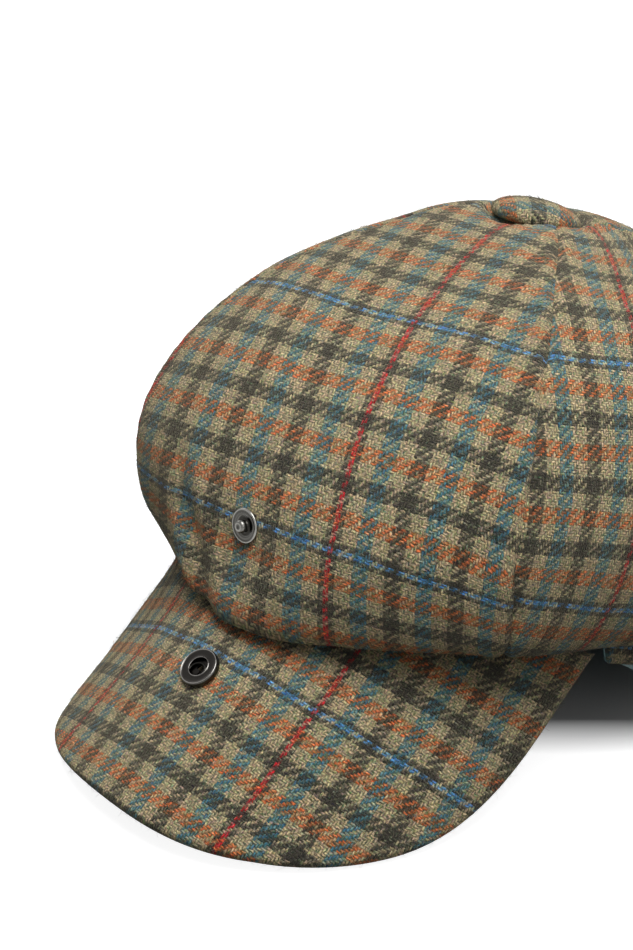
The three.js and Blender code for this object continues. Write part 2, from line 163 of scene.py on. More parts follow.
def node(tree, kind, settings=None, **inputs):
    made = tree.nodes.new(kind)
    for label, value in (settings or {}).items():
        setattr(made, label, value)
    for label, value in inputs.items():
        socket = next(k for k in made.inputs if k.name.replace(" ", "") == label and k.enabled)
        give(tree, socket, value)
    return made


def operate(tree, kind, operation, *values):
    made = node(tree, kind, {"operation": operation})
    for socket, value in zip(made.inputs, values):
        give(tree, socket, value)
    return made


def mathNode(tree, operation, *values):
    return operate(tree, "ShaderNodeMath", operation, *values).outputs[0]


def add(tree, a, b):
    return mathNode(tree, "ADD", a, b)


def subtract(tree, a, b):
    return mathNode(tree, "SUBTRACT", a, b)


def multiply(tree, a, b):
    return mathNode(tree, "MULTIPLY", a, b)


def mixColor(tree, factor, a, b, blend="MIX"):
    made = node(tree, "ShaderNodeMix", {"data_type": "RGBA", "blend_type": blend}, Factor=factor, A=a, B=b)
    return made.outputs[2]


def noiseNode(tree, vector, scale, detail=2.0, roughness=0.5):
    return node(tree, "ShaderNodeTexNoise", Vector=vector, Scale=scale, Detail=detail, Roughness=roughness)


def splitColor(tree, color):
    return list(node(tree, "ShaderNodeSeparateColor", Color=color).outputs)


def ranged(tree, value, low, high, start=0.0, end=1.0):
    return node(tree, "ShaderNodeMapRange", Value=value, FromMin=start, FromMax=end, ToMin=low,
                ToMax=high).outputs[0]


def linear(r, g, b):
    return tuple(((v / 255 + 0.055) / 1.055) ** 2.4 if v > 10 else v / 255 / 12.92
                 for v in (r, g, b)) + (1.0,)


# A group of nodes, with a kind or a usual value for each of its sockets
def newGroup(name, treeKind, inputs, outputs):
    tree = bpy.data.node_groups.new(name, treeKind)
    for way, sockets in (("INPUT", inputs), ("OUTPUT", outputs)):
        for label, value in sockets.items():
            kind = value if isinstance(value, str) else "Color" if isinstance(value, tuple) else "Float"
            socket = tree.interface.new_socket(name=label, in_out=way, socket_type="NodeSocket" + kind)
            if kind != value:
                socket.default_value = value
    return tree, tree.nodes.new("NodeGroupInput").outputs, tree.nodes.new("NodeGroupOutput").inputs


def placeGroup(tree, group, **values):
    return node(tree, "ShaderNodeGroup", {"node_tree": group}, **values).outputs


# Check tweed: a 2/2 twill of six yarns to the stripe, with a red and a blue overcheck every fourth repeat;
# valley is how deep the painted shade between the yarns goes
tweed = {
    "pitch": 20 / 24, "stripe": 6, "repeat": 24, "over": 96,
    "cream": (0.52, 0.435, 0.25, 1), "dark": (0.04, 0.04, 0.032, 1),
    "teal": (0.05, 0.19, 0.26, 1), "rust": (0.72, 0.17, 0.05, 1),
    "red": linear(196, 20, 36), "blue": linear(86, 156, 222), "pale": (0.72, 0.64, 0.47, 1),
    "wander": 1.6, "fray": 1.25, "blend": 0.2, "nap": 2.3, "melange": 2.4, "valley": 0.72, "flecks": 0.3,
    "slowNoise": 0.045, "fineNoise": 1.4, "strayNoise": 0.7, "fibreLong": 0.55, "fibreShort": 1.5,
    "dive": 0.7, "mostCover": 0.9, "fleckFrom": 0.57, "fleckTo": 0.7, "ownTint": 0.22, "darkest": 0.15,
    "relief": 0.00035, "sheen": 0.4, "sheenRough": 0.5, "roughness": (0.82, 1.0), "lineHalf": 0.9,
}


def buildCheckTweed():
    numbers = ("Pitch", "Wander", "Fray", "Blend", "Nap", "Melange", "Valley", "Flecks")
    colors = {"Cream": "cream", "Dark": "dark", "Warp Accent": "teal", "Weft Accent": "rust",
              "Red Line": "red", "Blue Line": "blue", "Pale": "pale"}
    inputs = {"Cloth": "Vector"} | {label: tweed[label.lower()] for label in numbers}
    inputs |= {label: tweed[key] for label, key in colors.items()}
    tree, g, out = newGroup("checkTweed", "ShaderNodeTree", inputs,
                            {"Color": "Color", "Height": "Float", "Fuzz": "Float"})
    slow = splitColor(tree, noiseNode(tree, g["Cloth"], tweed["slowNoise"], 1.0).outputs["Color"])
    fine = splitColor(tree, noiseNode(tree, g["Cloth"], tweed["fineNoise"], 3.0, 0.75).outputs["Color"])
    split = node(tree, "ShaderNodeSeparateXYZ", Vector=g["Cloth"])
    half = tweed["stripe"] / 2

    def yarnPlace(k):
        drift = multiply(tree, subtract(tree, slow[k], 0.5), g["Wander"])
        fray = multiply(tree, subtract(tree, fine[k], 0.5), g["Fray"])
        place = add(tree, split.outputs[k], add(tree, drift, fray))
        return add(tree, mathNode(tree, "DIVIDE", place, g["Pitch"]), half * 3)

    x, y = yarnPlace(0), yarnPlace(1)
    i, j = mathNode(tree, "FLOOR", x), mathNode(tree, "FLOOR", y)
    warpRun = mathNode(tree, "WRAP", subtract(tree, i, y), 2.0, -2.0)
    weftRun = mathNode(tree, "WRAP", subtract(tree, subtract(tree, x, j), 3.0), 2.0, -2.0)
    warpOnTop = mathNode(tree, "LESS_THAN", mathNode(tree, "ABSOLUTE", warpRun), 1.0)

    # a yarn's height over its width, and over its run before it dives under the next
    def rounding(place, run):
        across = subtract(tree, multiply(tree, mathNode(tree, "FRACT", place), 2.0), 1.0)
        hump = subtract(tree, 1.0, multiply(tree, across, across))
        dive = multiply(tree, multiply(tree, run, run), tweed["dive"])
        return multiply(tree, hump, subtract(tree, 1.0, dive))

    def yarnColor(index, accent, line):
        within = mathNode(tree, "FLOORED_MODULO", index, float(tweed["repeat"]))
        long = mathNode(tree, "FLOORED_MODULO", index, float(tweed["over"]))
        isDark = mathNode(tree, "COMPARE", within, half * 3 - 0.5, half - 0.3)
        isAccent = mathNode(tree, "COMPARE", within, half * 7 - 0.5, half - 0.3)
        isLine = mathNode(tree, "COMPARE", long, half * 3 - 0.5, tweed["lineHalf"])
        plain = mixColor(tree, isDark, g["Cream"], g["Dark"])
        return mixColor(tree, isLine, mixColor(tree, isAccent, plain, accent), line)

    warpColor = yarnColor(i, g["Warp Accent"], g["Red Line"])
    weftColor = yarnColor(j, g["Weft Accent"], g["Blue Line"])
    face = mixColor(tree, warpOnTop, weftColor, warpColor)
    under = mixColor(tree, warpOnTop, warpColor, weftColor)
    pick = node(tree, "ShaderNodeMix", Factor=warpOnTop, A=rounding(y, weftRun), B=rounding(x, warpRun))
    hump = mathNode(tree, "MAXIMUM", pick, 0.0)
    # fibres lie along the yarn that is on top
    turned = multiply(tree, warpOnTop, tweed["fibreShort"] - tweed["fibreLong"])
    along = node(tree, "ShaderNodeCombineXYZ", X=multiply(tree, x, add(tree, tweed["fibreLong"], turned)),
                 Y=multiply(tree, y, subtract(tree, tweed["fibreShort"], turned)))
    fibre = noiseNode(tree, along, 1.0, 1.5, 0.6)
    tint = splitColor(tree, fibre.outputs["Color"])
    # fulled cloth: fibres of the yarn below come through, more in some places than in others
    stray = noiseNode(tree, g["Cloth"], tweed["strayNoise"], 3.0, 0.7)
    swell = add(tree, g["Blend"], multiply(tree, subtract(tree, stray, 0.5), g["Nap"]))
    cover = mathNode(tree, "MINIMUM", mathNode(tree, "MAXIMUM", swell, 0.0), tweed["mostCover"])
    pale = ranged(tree, tint[1], 0.0, 1.0, tweed["fleckFrom"], tweed["fleckTo"])
    powers = [node(tree, "ShaderNodeGamma", Color=yarn, Gamma=share)
              for yarn, share in ((face, subtract(tree, 1.0, cover)), (under, cover))]
    blended = mixColor(tree, multiply(tree, pale, g["Flecks"]),
                       mixColor(tree, 1.0, powers[0], powers[1], "MULTIPLY"), g["Pale"])
    # painted shade: the colour is darker at each yarn's edges and where it dives under the next, multiplied in
    # with the melange tone
    shade = add(tree, subtract(tree, 1.0, g["Valley"]), multiply(tree, hump, g["Valley"]))
    melangeAndShade = tree.nodes.new("ShaderNodeCombineColor")
    for k in range(3):
        both = add(tree, multiply(tree, fibre, 1 - tweed["ownTint"]),
                   multiply(tree, tint[k], tweed["ownTint"]))
        light = multiply(tree, multiply(tree, subtract(tree, both, 0.5), g["Melange"]), 2.0)
        level = mathNode(tree, "MAXIMUM", add(tree, 1.0, light), tweed["darkest"])
        give(tree, melangeAndShade.inputs[k], multiply(tree, level, shade))
    fill(tree, out, Color=mixColor(tree, 1.0, blended, melangeAndShade, "MULTIPLY"), Height=add(tree, hump, fibre),
         Fuzz=stray)
    return tree


checkTweed = buildCheckTweed()


def newMaterial(name, **values):
    material = bpy.data.materials.new(name)
    material.use_nodes = True
    tree = material.node_tree
    shader = tree.nodes["Principled BSDF"]
    for label, value in values.items():
        shader.inputs[label.replace("_", " ")].default_value = value
    return material, tree, shader


def clothUv(tree):
    return node(tree, "ShaderNodeUVMap", {"uv_map": "cloth"})


# Joins a colour, a roughness and a relief to a shader
def dress(tree, shader, color, roughness, height, distance, strength=1.0):
    raised = node(tree, "ShaderNodeBump", Height=height, Distance=distance, Strength=strength)
    fill(tree, shader.inputs, **{"Base Color": color, "Roughness": roughness, "Normal": raised})


def tweedMaterial(name, sheen):
    material, tree, shader = newMaterial(name, Sheen_Weight=sheen, Sheen_Roughness=tweed["sheenRough"],
                                         Sheen_Tint=linear(214, 200, 170), Specular_IOR_Level=0.2)
    weave = placeGroup(tree, checkTweed, Cloth=clothUv(tree))
    roughness = ranged(tree, weave["Fuzz"], *tweed["roughness"])
    dress(tree, shader, weave["Color"], roughness, weave["Height"], tweed["relief"])
    return material


tweedCloth = tweedMaterial("tweedCloth", tweed["sheen"])

satin = {"color": linear(10, 92, 92), "shade": linear(4, 62, 66), "thread": 0.22,
         "cloud": 0.12, "roughness": (0.28, 0.42), "relief": 0.00003}


def satinMaterial():
    material, tree, shader = newMaterial("tealSatin", Sheen_Weight=0.05, Sheen_Roughness=0.3)
    uv = clothUv(tree)
    wave = node(tree, "ShaderNodeTexWave", {"bands_direction": "DIAGONAL"}, Vector=uv,
                Scale=1 / satin["thread"] / 6, Distortion=1.0).outputs[1]
    cloud = noiseNode(tree, uv, satin["cloud"], 3.0)
    tone = mixColor(tree, ranged(tree, cloud, 0.2, 0.8), satin["shade"], satin["color"])
    color = mixColor(tree, ranged(tree, wave, 0.0, 0.25), tone, satin["shade"])
    dress(tree, shader, color, ranged(tree, cloud, *satin["roughness"]), wave, satin["relief"])
    return material


tealSatin = satinMaterial()


finishSockets = {"Color": "Color", "Roughness": "Float", "Height": "Float"}
metal = {"stainScale": 420.0, "stain": (0.75, 1.2), "scratchScale": 2400.0, "scratchDepth": 0.00001}


# Metal is darker in its hollows, as painted shade, and pale on the edges marked on the mesh, as wear and
# painted highlight
def buildStainedGlintMetal():
    tree, g, out = newGroup("stainedGlintMetal", "ShaderNodeTree",
                            {"Place": "Vector", "Worn": 0.0, "Dark": "Color", "Bright": "Color", "Rough": 0.2},
                            finishSockets)
    stain = noiseNode(tree, g["Place"], metal["stainScale"], 4.0, 0.6)
    scratch = noiseNode(tree, g["Place"], metal["scratchScale"], 2.0)
    mottled = multiply(tree, g["Worn"], ranged(tree, stain, *metal["stain"]))
    bright = mathNode(tree, "MINIMUM", mottled, 1.0)
    smoothest, roughest = subtract(tree, g["Rough"], 0.06), add(tree, g["Rough"], 0.1)
    fill(tree, out, Color=mixColor(tree, bright, g["Dark"], g["Bright"]),
         Roughness=ranged(tree, stain, smoothest, roughest), Height=scratch)
    return tree


stainedGlintMetal = buildStainedGlintMetal()


def metalMaterial(name, dark, bright, rough):
    material, tree, shader = newMaterial(name, Metallic=1.0)
    # the mark on the mesh lightens the metal: wear and painted highlight where high, painted shade where low
    wearAndGlint = node(tree, "ShaderNodeAttribute", {"attribute_name": "wearAndGlint"}).outputs["Fac"]
    place = tree.nodes.new("ShaderNodeTexCoord").outputs["Object"]
    metalLook = placeGroup(tree, stainedGlintMetal, Place=place, Worn=wearAndGlint, Dark=dark, Bright=bright, Rough=rough)
    dress(tree, shader, metalLook["Color"], metalLook["Roughness"], metalLook["Height"], metal["scratchDepth"], 0.4)
    return material


gunmetal = metalMaterial("gunmetalWearGlint", linear(34, 32, 30), linear(146, 143, 138), 0.22)
paleMetal = metalMaterial("paleSnapMetal", linear(40, 39, 36), linear(138, 137, 132), 0.2)


def buildFibreGrain():
    tree, g, out = newGroup("fibreGrain", "ShaderNodeTree",
                            {"Place": "Vector", "Scale": 900.0, "Dark": "Color", "Light": "Color"},
                            finishSockets)
    grain = noiseNode(tree, g["Place"], g["Scale"], 4.0, 0.65)
    fill(tree, out, Color=mixColor(tree, grain, g["Dark"], g["Light"]),
         Roughness=ranged(tree, grain, 0.7, 0.95), Height=grain)
    return tree


fibreGrain = buildFibreGrain()


def fibreMaterial(name, dark, light, scale, relief):
    material, tree, shader = newMaterial(name)
    place = tree.nodes.new("ShaderNodeTexCoord").outputs["Object"]
    grain = placeGroup(tree, fibreGrain, Place=place, Scale=scale, Dark=dark, Light=light)
    dress(tree, shader, grain["Color"], grain["Roughness"], grain["Height"], relief)
    return material


boardPulp = fibreMaterial("boardPulp", linear(170, 160, 138), linear(214, 206, 190), 900.0, 0.0001)
tieThread = fibreMaterial("tieThread", linear(44, 43, 38), linear(78, 76, 68), 2600.0, 0.0001)


# Turned pieces: a profile of (radius, height, wear and painted highlight, low for painted shade) about an
# axis, closed where it meets the axis
def lathe(name, profile, place, axis, steps, material, cloth=None):
    profile = np.array([tuple(p) + (0.0,) * (3 - len(p)) for p in profile], float)
    turn = np.arange(steps) / steps * 2 * math.pi
    axis = np.array(axis) / np.linalg.norm(axis)
    side = np.cross([1.0, 0, 0] if abs(axis[0]) < 0.9 else [0, 1.0, 0], axis)
    side /= np.linalg.norm(side)
    other = np.cross(axis, side)
    closed = np.allclose(profile[0, :2], profile[-1, :2])
    if closed:
        profile = profile[:-1]
    points, index, wearAndGlint = [], [], []
    for r, h, wearGlint in profile:
        count = 1 if r < 1e-9 else steps
        index.append([len(points) + k % count for k in range(steps)])
        points.extend(np.array(place) + axis * h + (side * math.cos(t) + other * math.sin(t)) * r
                      for t in turn[:count])
        wearAndGlint.extend([wearGlint] * count)
    down = lengthAlong(np.append(profile, profile[:1], 0)[None, :, :2], 1)[0]
    faces, uv = [], []
    for k in range(len(profile) if closed else len(profile) - 1):
        lower, upper = index[k], index[(k + 1) % len(profile)]
        for s in range(steps):
            n = (s + 1) % steps
            corner = [(lower[s], s, k), (lower[n], s + 1, k), (upper[n], s + 1, k + 1), (upper[s], s, k + 1)]
            face = [c for m, c in enumerate(corner) if c[0] not in [d[0] for d in corner[:m]]]
            if len(face) > 2:
                faces.append([c[0] for c in face])
                uv.append([(c[1] / steps * 30, down[c[2]]) for c in face])
    if cloth is not None:
        uv = [[cloth(points[v]) for v in f] for f in faces]
    placed = toRow(np.array(points))
    volume = sum(np.dot(placed[f[0]], np.cross(placed[f[m]], placed[f[m + 1]])) for f in faces
                 for m in range(1, len(f) - 1))
    if volume < 0:
        faces, uv = [f[::-1] for f in faces], [c[::-1] for c in uv]
    piece = makeMesh(name, placed, faces, np.array([c for corners in uv for c in corners]), material, 40)
    # the third numbers, wear and painted highlight, go on the mesh for the metal's colour
    mark(piece, "wearAndGlint", wearAndGlint)
    return piece


def arcPoints(cx, cy, r, start, end, count=6, wearGlint=0.0):
    t = np.radians(np.linspace(start, end, count))
    return [(cx + r * math.cos(v), cy + r * math.sin(v), wearGlint) for v in t]


# Snap halves: a stud on the crown and its socket on the peak, each held by a post through the cloth
snap = {"studHeight": 14.0, "socketRadius": 6.3, "socketHeight": 2.3, "socketAlong": 40.0, "steps": 96,
        "gap": 0.3, "postHole": 1.2, "patchSide": 16.0, "patchRoom": 0.9, "patchCloth": 0.6,
        "patchSteps": 25, "drillReach": 12, "drillSteps": 24}


def placeOn(surface, first, second, e=1e-3):
    p = surface(first, second)
    return p, unit(np.cross(surface(first + e, second) - p, surface(first, second + e) - p))


def socketPlace():
    p, n = placeOn(peakMiddle, 0.5, snap["socketAlong"] / peak["projection"])
    return p, -n


# A hole for a post, cut straight through a piece of cloth or board
def drill(piece, place, radius):
    p, n = place
    far = snap["drillReach"]
    profile = [(0, -far), (radius, -far), (radius, far), (0, far)]
    cutter = lathe("cutter", profile, p, n, snap["drillSteps"], piece.data.materials[0])
    modifier = piece.modifiers.new("hole", "BOOLEAN")
    modifier.object, modifier.operation, modifier.solver = cutter, "DIFFERENCE", "EXACT"
    view = bpy.context.evaluated_depsgraph_get()
    mesh = bpy.data.meshes.new_from_object(piece.evaluated_get(view))
    piece.modifiers.remove(modifier)
    piece.data = mesh
    bpy.data.objects.remove(cutter)
    mesh.set_sharp_from_angle(angle=math.radians(60))


# The crown: four panels on one swelling surface
# Its rows run from 0 to 1 on the dome, to 2 on the fold and to 3 back to the band
crown = {
    "overFront": 28.5, "overSide": 18.5, "overBack": 21.5,
    "seamIn": 3.5, "seamBehindFront": 20.5, "seamAheadOfBack": 3.5,
    "shift": 16.0, "height": 112.0, "hole": 3.0, "bandHeight": 24.0, "bandGap": 0.6,
    "widest": (14.0, 34.0, 38.0), "low": (-13.5, 4.0, 6.0), "roll": (11.0, 10.0, 13.0),
    "power": (1.47, 2.15, 2.1), "dentDepth": 8.0, "dentWidth": 40.0, "dentFrom": 0.5,
    "cloth": 1.8, "columns": 120, "rowStep": 1.6, "crowding": 0.88,
    "seamGap": 0.12, "seamDepth": 1.15, "seamRound": 1.2, "seamRidge": 0.28, "ridgeWidth": 6.0,
    "pucker": 0.22, "puckerStep": 6.5, "puckerReach": 5.0, "sag": 0.8, "sagSize": 34.0,
    "sagFiner": 2.6, "sagFinerShare": 0.3, "waveSize": 19.0, "puckerFrom": (12, 30), "grooveFrom": (8, 14),
    "calmRows": (2.3, 2.9), "buttonSwell": 3.2, "swellFrom": (14.6, 17.4), "swellTo": (20, 52),
    "swellAbove": 90,
}
# How the soft crown has settled: (x, y, z, size, move along the normal), then its crease: (x, y, z, depth)
settled = [
    (-30.7, -17.3, 109.6, 22, 0.75), (-47.5, -27.0, 104.4, 22, -0.92), (-60.4, -40.4, 95.9, 22, -2.42),
    (-71.4, -55.6, 82.4, 22, -1.95), (-76.5, -71.5, 66.7, 22, -0.99), (-76.7, -88.8, 47.1, 22, -0.84),
    (-79.8, -93.0, 26.7, 22, 0.14), (-73.5, -96.3, 6.6, 22, -1.1), (-46.7, -107.6, -8.1, 22, -4.45),
    (4.4, 25.8, 109.2, 22, 4.3), (-21.6, -113.4, -12.5, 16, 0.29), (-2.6, -115.1, -13.5, 16, 4.03),
    (15.6, -114.4, -12.9, 16, 2.33), (40.7, -107.3, -10.6, 16, 0.19), (66.4, -92.4, -5.8, 16, -1.32),
    (82.8, -68.7, -0.7, 16, 0.05), (91.0, -43.8, 3.0, 16, -0.91),
    (-1.0, -118.5, 27.0, 12, 1.6), (-1.0, -117.0, 3.0, 9, -3.0),
]
crease = {"width": 4.2, "shoulder": 0.35, "shoulderAt": 2.2,
          "path": [(-44.0, -111.9, 25.6, 0.0), (-37.9, -113.9, 22.4, 1.0), (-31.2, -115.4, 12.6, 2.2),
                   (-22.9, -116.7, 3.1, 2.6), (-15.6, -118.3, -6.9, 2.4), (-9.8, -116.9, -16.2, 1.8)]}
seamSwing = {"rows": [0, 0.115, 0.21, 0.33, 0.425, 0.6, 0.93, 1.175, 1.53, 3],
             "turn": [0.3, 0.23, 0.11, 0.05, 0.037, 0.008, 0.012, 0.034, 0.06, 0.06], "easing": 15}
headFront, headSide = head["length"] / 2, head["width"] / 2
bandInside = head["sweatCloth"] + head["sweatGap"]
bandOutside = bandInside + crown["cloth"]
crownFront = headFront + crown["overFront"] - crown["shift"]
crownSide = headSide + crown["overSide"]
crownBack = headFront + crown["overBack"] + crown["shift"]
seamAcross = headSide - crown["seamIn"]
seamFront = headFront - crown["seamBehindFront"]
seamBack = headFront - crown["seamAheadOfBack"]
frontSeam = math.atan2(seamAcross, seamFront)
backSeam = math.pi - math.atan2(seamAcross, seamBack)


def eased(a, values):
    front, side, back = values
    end = np.where(np.cos(a) > 0, front, back)
    return side + (end - side) * np.cos(a) ** 2


def panelRadius(turn, middle, ahead, aside):
    rise = middle - ahead
    arc = (aside ** 2 + rise ** 2) / (2 * rise)
    centre = middle - arc
    return centre * np.cos(turn) + np.sqrt(arc ** 2 - (centre * np.sin(turn)) ** 2)


def crownRadius(a):
    turn = turnOf(a)
    size = np.abs(turn)
    front = panelRadius(turn, crownFront, seamFront, seamAcross)
    back = panelRadius(math.pi - size, crownBack, seamBack, seamAcross)
    side = panelRadius(size - math.pi / 2, crownSide, seamAcross,
                       np.where(size < math.pi / 2, seamFront, seamBack))
    return np.where(size <= frontSeam, front, np.where(size >= backSeam, back, side))


def dentAt(a):
    aside = turnOf(a) * crownFront
    return crown["dentDepth"] * np.exp(-(aside / crown["dentWidth"]) ** 2)


def fromMiddle(a, reach, height):
    return np.stack([np.sin(a) * reach, -np.cos(a) * reach - crown["shift"], height + 0 * reach], -1)


def headOval(a, out):
    return 1 / np.hypot(np.sin(a) / (headSide + out), np.cos(a) / (headFront + out))


def bandPoint(a, out, height):
    h = headOval(a, out)
    return np.stack([np.sin(a) * h, -np.cos(a) * h, height + 0 * h], -1)


def domePoint(a, row, inset):
    t = quarter(row, 0)
    power = 2 / eased(a, crown["power"])
    dent = dentAt(a) * smooth(np.clip(row, 0, 1), crown["dentFrom"], 1)
    reach = crown["hole"] + (crownRadius(a) - inset - crown["hole"]) * np.sin(t) ** power - dent
    widest = eased(a, crown["widest"])
    z = widest + (crown["height"] - inset - widest) * np.clip(np.cos(t), 0, 1) ** power
    return fromMiddle(a, reach, z)


def crownSkin(a, row, inset=0.0):
    a, row = np.broadcast_arrays(np.asarray(a, float), np.asarray(row, float))
    widest, low0, roll = eased(a, crown["widest"]), eased(a, crown["low"]), eased(a, crown["roll"])
    radius, dent, low = crownRadius(a), dentAt(a), low0 + inset
    t = quarter(row, 1)
    fold = fromMiddle(a, radius - roll + (roll - inset - dent) * np.cos(t),
                      low + (widest - low) * (1 - np.sin(t)))
    t = quarter(row, 2)
    z = low + (crown["bandHeight"] - low) * (1 - np.cos(t))
    w = (1 - np.sin(t))[..., None]
    back = bandPoint(a, bandOutside + crown["bandGap"] + inset, z) * (1 - w)
    back = back + fromMiddle(a, radius - roll, z) * w
    return np.where((row <= 1)[..., None], domePoint(a, row, inset),
                    np.where((row <= 2)[..., None], fold, back))


def liningSkin(a, row, inset=0.0):
    a, row = np.broadcast_arrays(np.asarray(a, float), np.asarray(row, float))
    t = quarter(row, 1)
    widest = eased(a, crown["widest"])
    low = crown["bandHeight"] + lining["overBand"] + inset - lining["outer"]
    z = low + (widest - low) * (1 - np.sin(t))
    w = np.cos(t)[..., None]
    shoulder = bandPoint(a, 0.0, z) * (1 - w) + fromMiddle(a, crownRadius(a) - inset - dentAt(a), z) * w
    return np.where((row <= 1)[..., None], domePoint(a, row, inset), shoulder)


# How finely curves are followed when their length is measured, and how far past a panel's seams
sampling = {"rows": 1200, "across": 300, "beyond": 0.4}


# Rows of equal length down the middle of a panel
def evenRows(skin, a, last, step):
    fine = np.linspace(0.0, last, sampling["rows"])
    run = lengthAlong(skin(np.full(len(fine), a), fine), 0)
    return np.interp(np.linspace(0, run[-1], int(run[-1] / step) + 2), run, fine)


# The check's place (u, v) on each panel, from X across and Y down it
# One factor for each (X / unit)^i ((Y - y0) / unit)^j, by rising i, then j
checkUnit = 80
checkPowers = [(i, j) for i in range(5) for j in range(5 - i)]
checkLayout = {
    "front": {
        "y0": 100.0,
        "u": [-0.2358, -0.2358, 0.01853, 0.07692, 0.00697, 0.8484, -0.09073, -0.03118, 0.001703, 0.06788,
              0.1469, 0.009833, -0.005357, 0.003316, 0.001439],
        "v": [0.5975, -1.01, 0.04553, -0.1334, -0.006715, -0.0785, 0.01558, 0.01944, -0.004824, 0.3002,
              -0.181, -0.01695, 0.008161, -0.002698, 0.007729],
    },
    "left": {
        "y0": 100.0,
        "u": [0.5697, 0.398, -0.2209, 0.002843, 0.01648, 1.106, 0.03593, 0.05309, 0.01655, -0.02452,
              -0.01872, 0.008184, 0.003248, 0.01171, 0.003534],
        "v": [0.81, -1.02, -0.0036, -0.00722, -0.00958, 0.1172, 0.02942, 0.00428, 0.00701, -0.02849, 0.0,
              -0.00158, 0.0005, 9e-05, 0.00099],
    },
    "peak": {
        "y0": 45.0,
        "u": [-0.5219, 0.02591, 0.09217, 0.003891, -0.01095, 1.103, -0.007477, -0.02864, -0.02585, -0.01655,
              -0.009311, -0.02113, -0.01279, -0.00862, 0.01126],
        "v": [-0.1826, -1.093, 0.02293, 0.004798, -0.007439, 0.04416, 0.07741, 0.012, 0.01384, -0.03009,
              0.01302, 0.00321, -0.02683, 0.00071, -0.0084],
    },
    "back": {"y0": 100.0, "u": [-0.15, 0, 0, 0, 0, 1.04], "v": [0.65, -1.03]},
    "right": {"y0": 100.0, "u": [-0.39, 0, 0, 0, 0, 1.08], "v": [0.75, -1.03, 0, 0, 0, -0.06]},
}


def layCheck(side, x, y):
    layout = checkLayout[side]
    across, down = x / checkUnit, (y - layout["y0"]) / checkUnit
    terms = [across ** i * down ** j * checkUnit for i, j in checkPowers]
    return np.stack([sum(c * t for c, t in zip(layout[k], terms)) for k in "uv"], -1)


def swing(rows):
    fine = np.linspace(0, 3, 601)
    turn = np.pad(np.interp(fine, seamSwing["rows"], seamSwing["turn"]), seamSwing["easing"], "edge")
    count = 2 * seamSwing["easing"] + 1
    return np.interp(rows, fine, np.convolve(turn, np.ones(count) / count, "valid"))


# Where the seams run: the front ones swing a little with the row
panelEnds = {
    "front": (-frontSeam, frontSeam, -1, 1), "left": (frontSeam, backSeam, 1, 0),
    "back": (backSeam, 2 * math.pi - backSeam, 0, 0),
    "right": (2 * math.pi - backSeam, 2 * math.pi - frontSeam, 0, -1),
}


def panelGrid(skin, ends, last, step, inset):
    start, end, swingStart, swingEnd = ends
    rows = evenRows(skin, (start + end) / 2, last, step)
    share = np.linspace(0, 1, crown["columns"] + 1)
    share = share - crown["crowding"] * np.sin(2 * math.pi * share) / (2 * math.pi)
    edge = skin(np.full(len(rows), start), rows)
    room = crown["seamGap"] / 2 / np.hypot(edge[:, 0], edge[:, 1] + crown["shift"])
    first, final = start + swingStart * swing(rows) + room, end + swingEnd * swing(rows) - room
    a = first[None] + (final - first)[None] * share[:, None]
    return a, rows, skin(a, rows[None] + 0 * a, inset)


# Lengths across from the panel's middle line, and down that line
def clothPlace(skin, ends, a, rows):
    middle = sampling["across"]
    fine = np.linspace(ends[0] - sampling["beyond"], ends[1] + sampling["beyond"], 2 * middle + 1)
    grid = skin(fine[:, None], rows[None] + 0 * fine[:, None])
    along = lengthAlong(grid, 0)
    along = along - along[middle:middle + 1]
    x = np.stack([np.interp(a[:, k], fine, along[:, k]) for k in range(len(rows))], -1)
    return x, lengthAlong(grid[middle:middle + 1], 1) + 0 * a


def settle(points):
    lift = np.zeros(points.shape[:-1])
    for x, y, z, size, move in settled:
        lift += move * np.exp(-((points - np.array([x, y, z])) ** 2).sum(-1) / (2 * size * size))
    path = np.array(crease["path"])
    best, depth = np.full(lift.shape, 1e9), np.zeros(lift.shape)
    for p, q in zip(path[:-1], path[1:]):
        d = q[:3] - p[:3]
        k = np.clip(((points - p[:3]) @ d) / (d @ d), 0, 1)
        far = np.linalg.norm(points - p[:3] - k[..., None] * d, axis=-1)
        depth = np.where(far < best, p[3] + (q[3] - p[3]) * k, depth)
        best = np.minimum(best, far)
    aside = best / crease["width"]
    shoulder = crease["shoulder"] * np.exp(-(aside - crease["shoulderAt"]) ** 2)
    lift -= depth * (np.exp(-aside ** 2) - shoulder)
    # the button's shank draws the cloth down under it, and it swells round the button
    away = np.hypot(points[..., 0], points[..., 1] + crown["shift"])
    swell = smooth(away, *crown["swellFrom"]) * smooth(away, *crown["swellTo"][::-1])
    return lift + np.where(points[..., 2] > crown["swellAbove"], crown["buttonSwell"] * swell, 0)


def softLift(points):
    finer = noiseAt(points, crown["sagSize"] / crown["sagFiner"], 7.0)
    sag = noiseAt(points, crown["sagSize"]) + finer * crown["sagFinerShare"]
    return settle(points) + sag * crown["sag"]


def rowAtHeight(height):
    rows = np.linspace(0.5, 2.0, 3001)
    return np.interp(-np.asarray(height, float), -crownSkin(0.0, rows)[..., 2], rows)


# A point of the settled surface
def softPoint(a, row, inset=0.0, e=1e-3):
    p = crownSkin(a, row, inset)
    n = unit(np.cross(crownSkin(a + e, row, inset) - p, p - crownSkin(a, row + e, inset)))
    return p + n * softLift(crownSkin(a, row))[..., None]


studRow = float(rowAtHeight(snap["studHeight"]))


def studPlace():
    return placeOn(lambda row, a: crownSkin(a, row), studRow, 0.0)


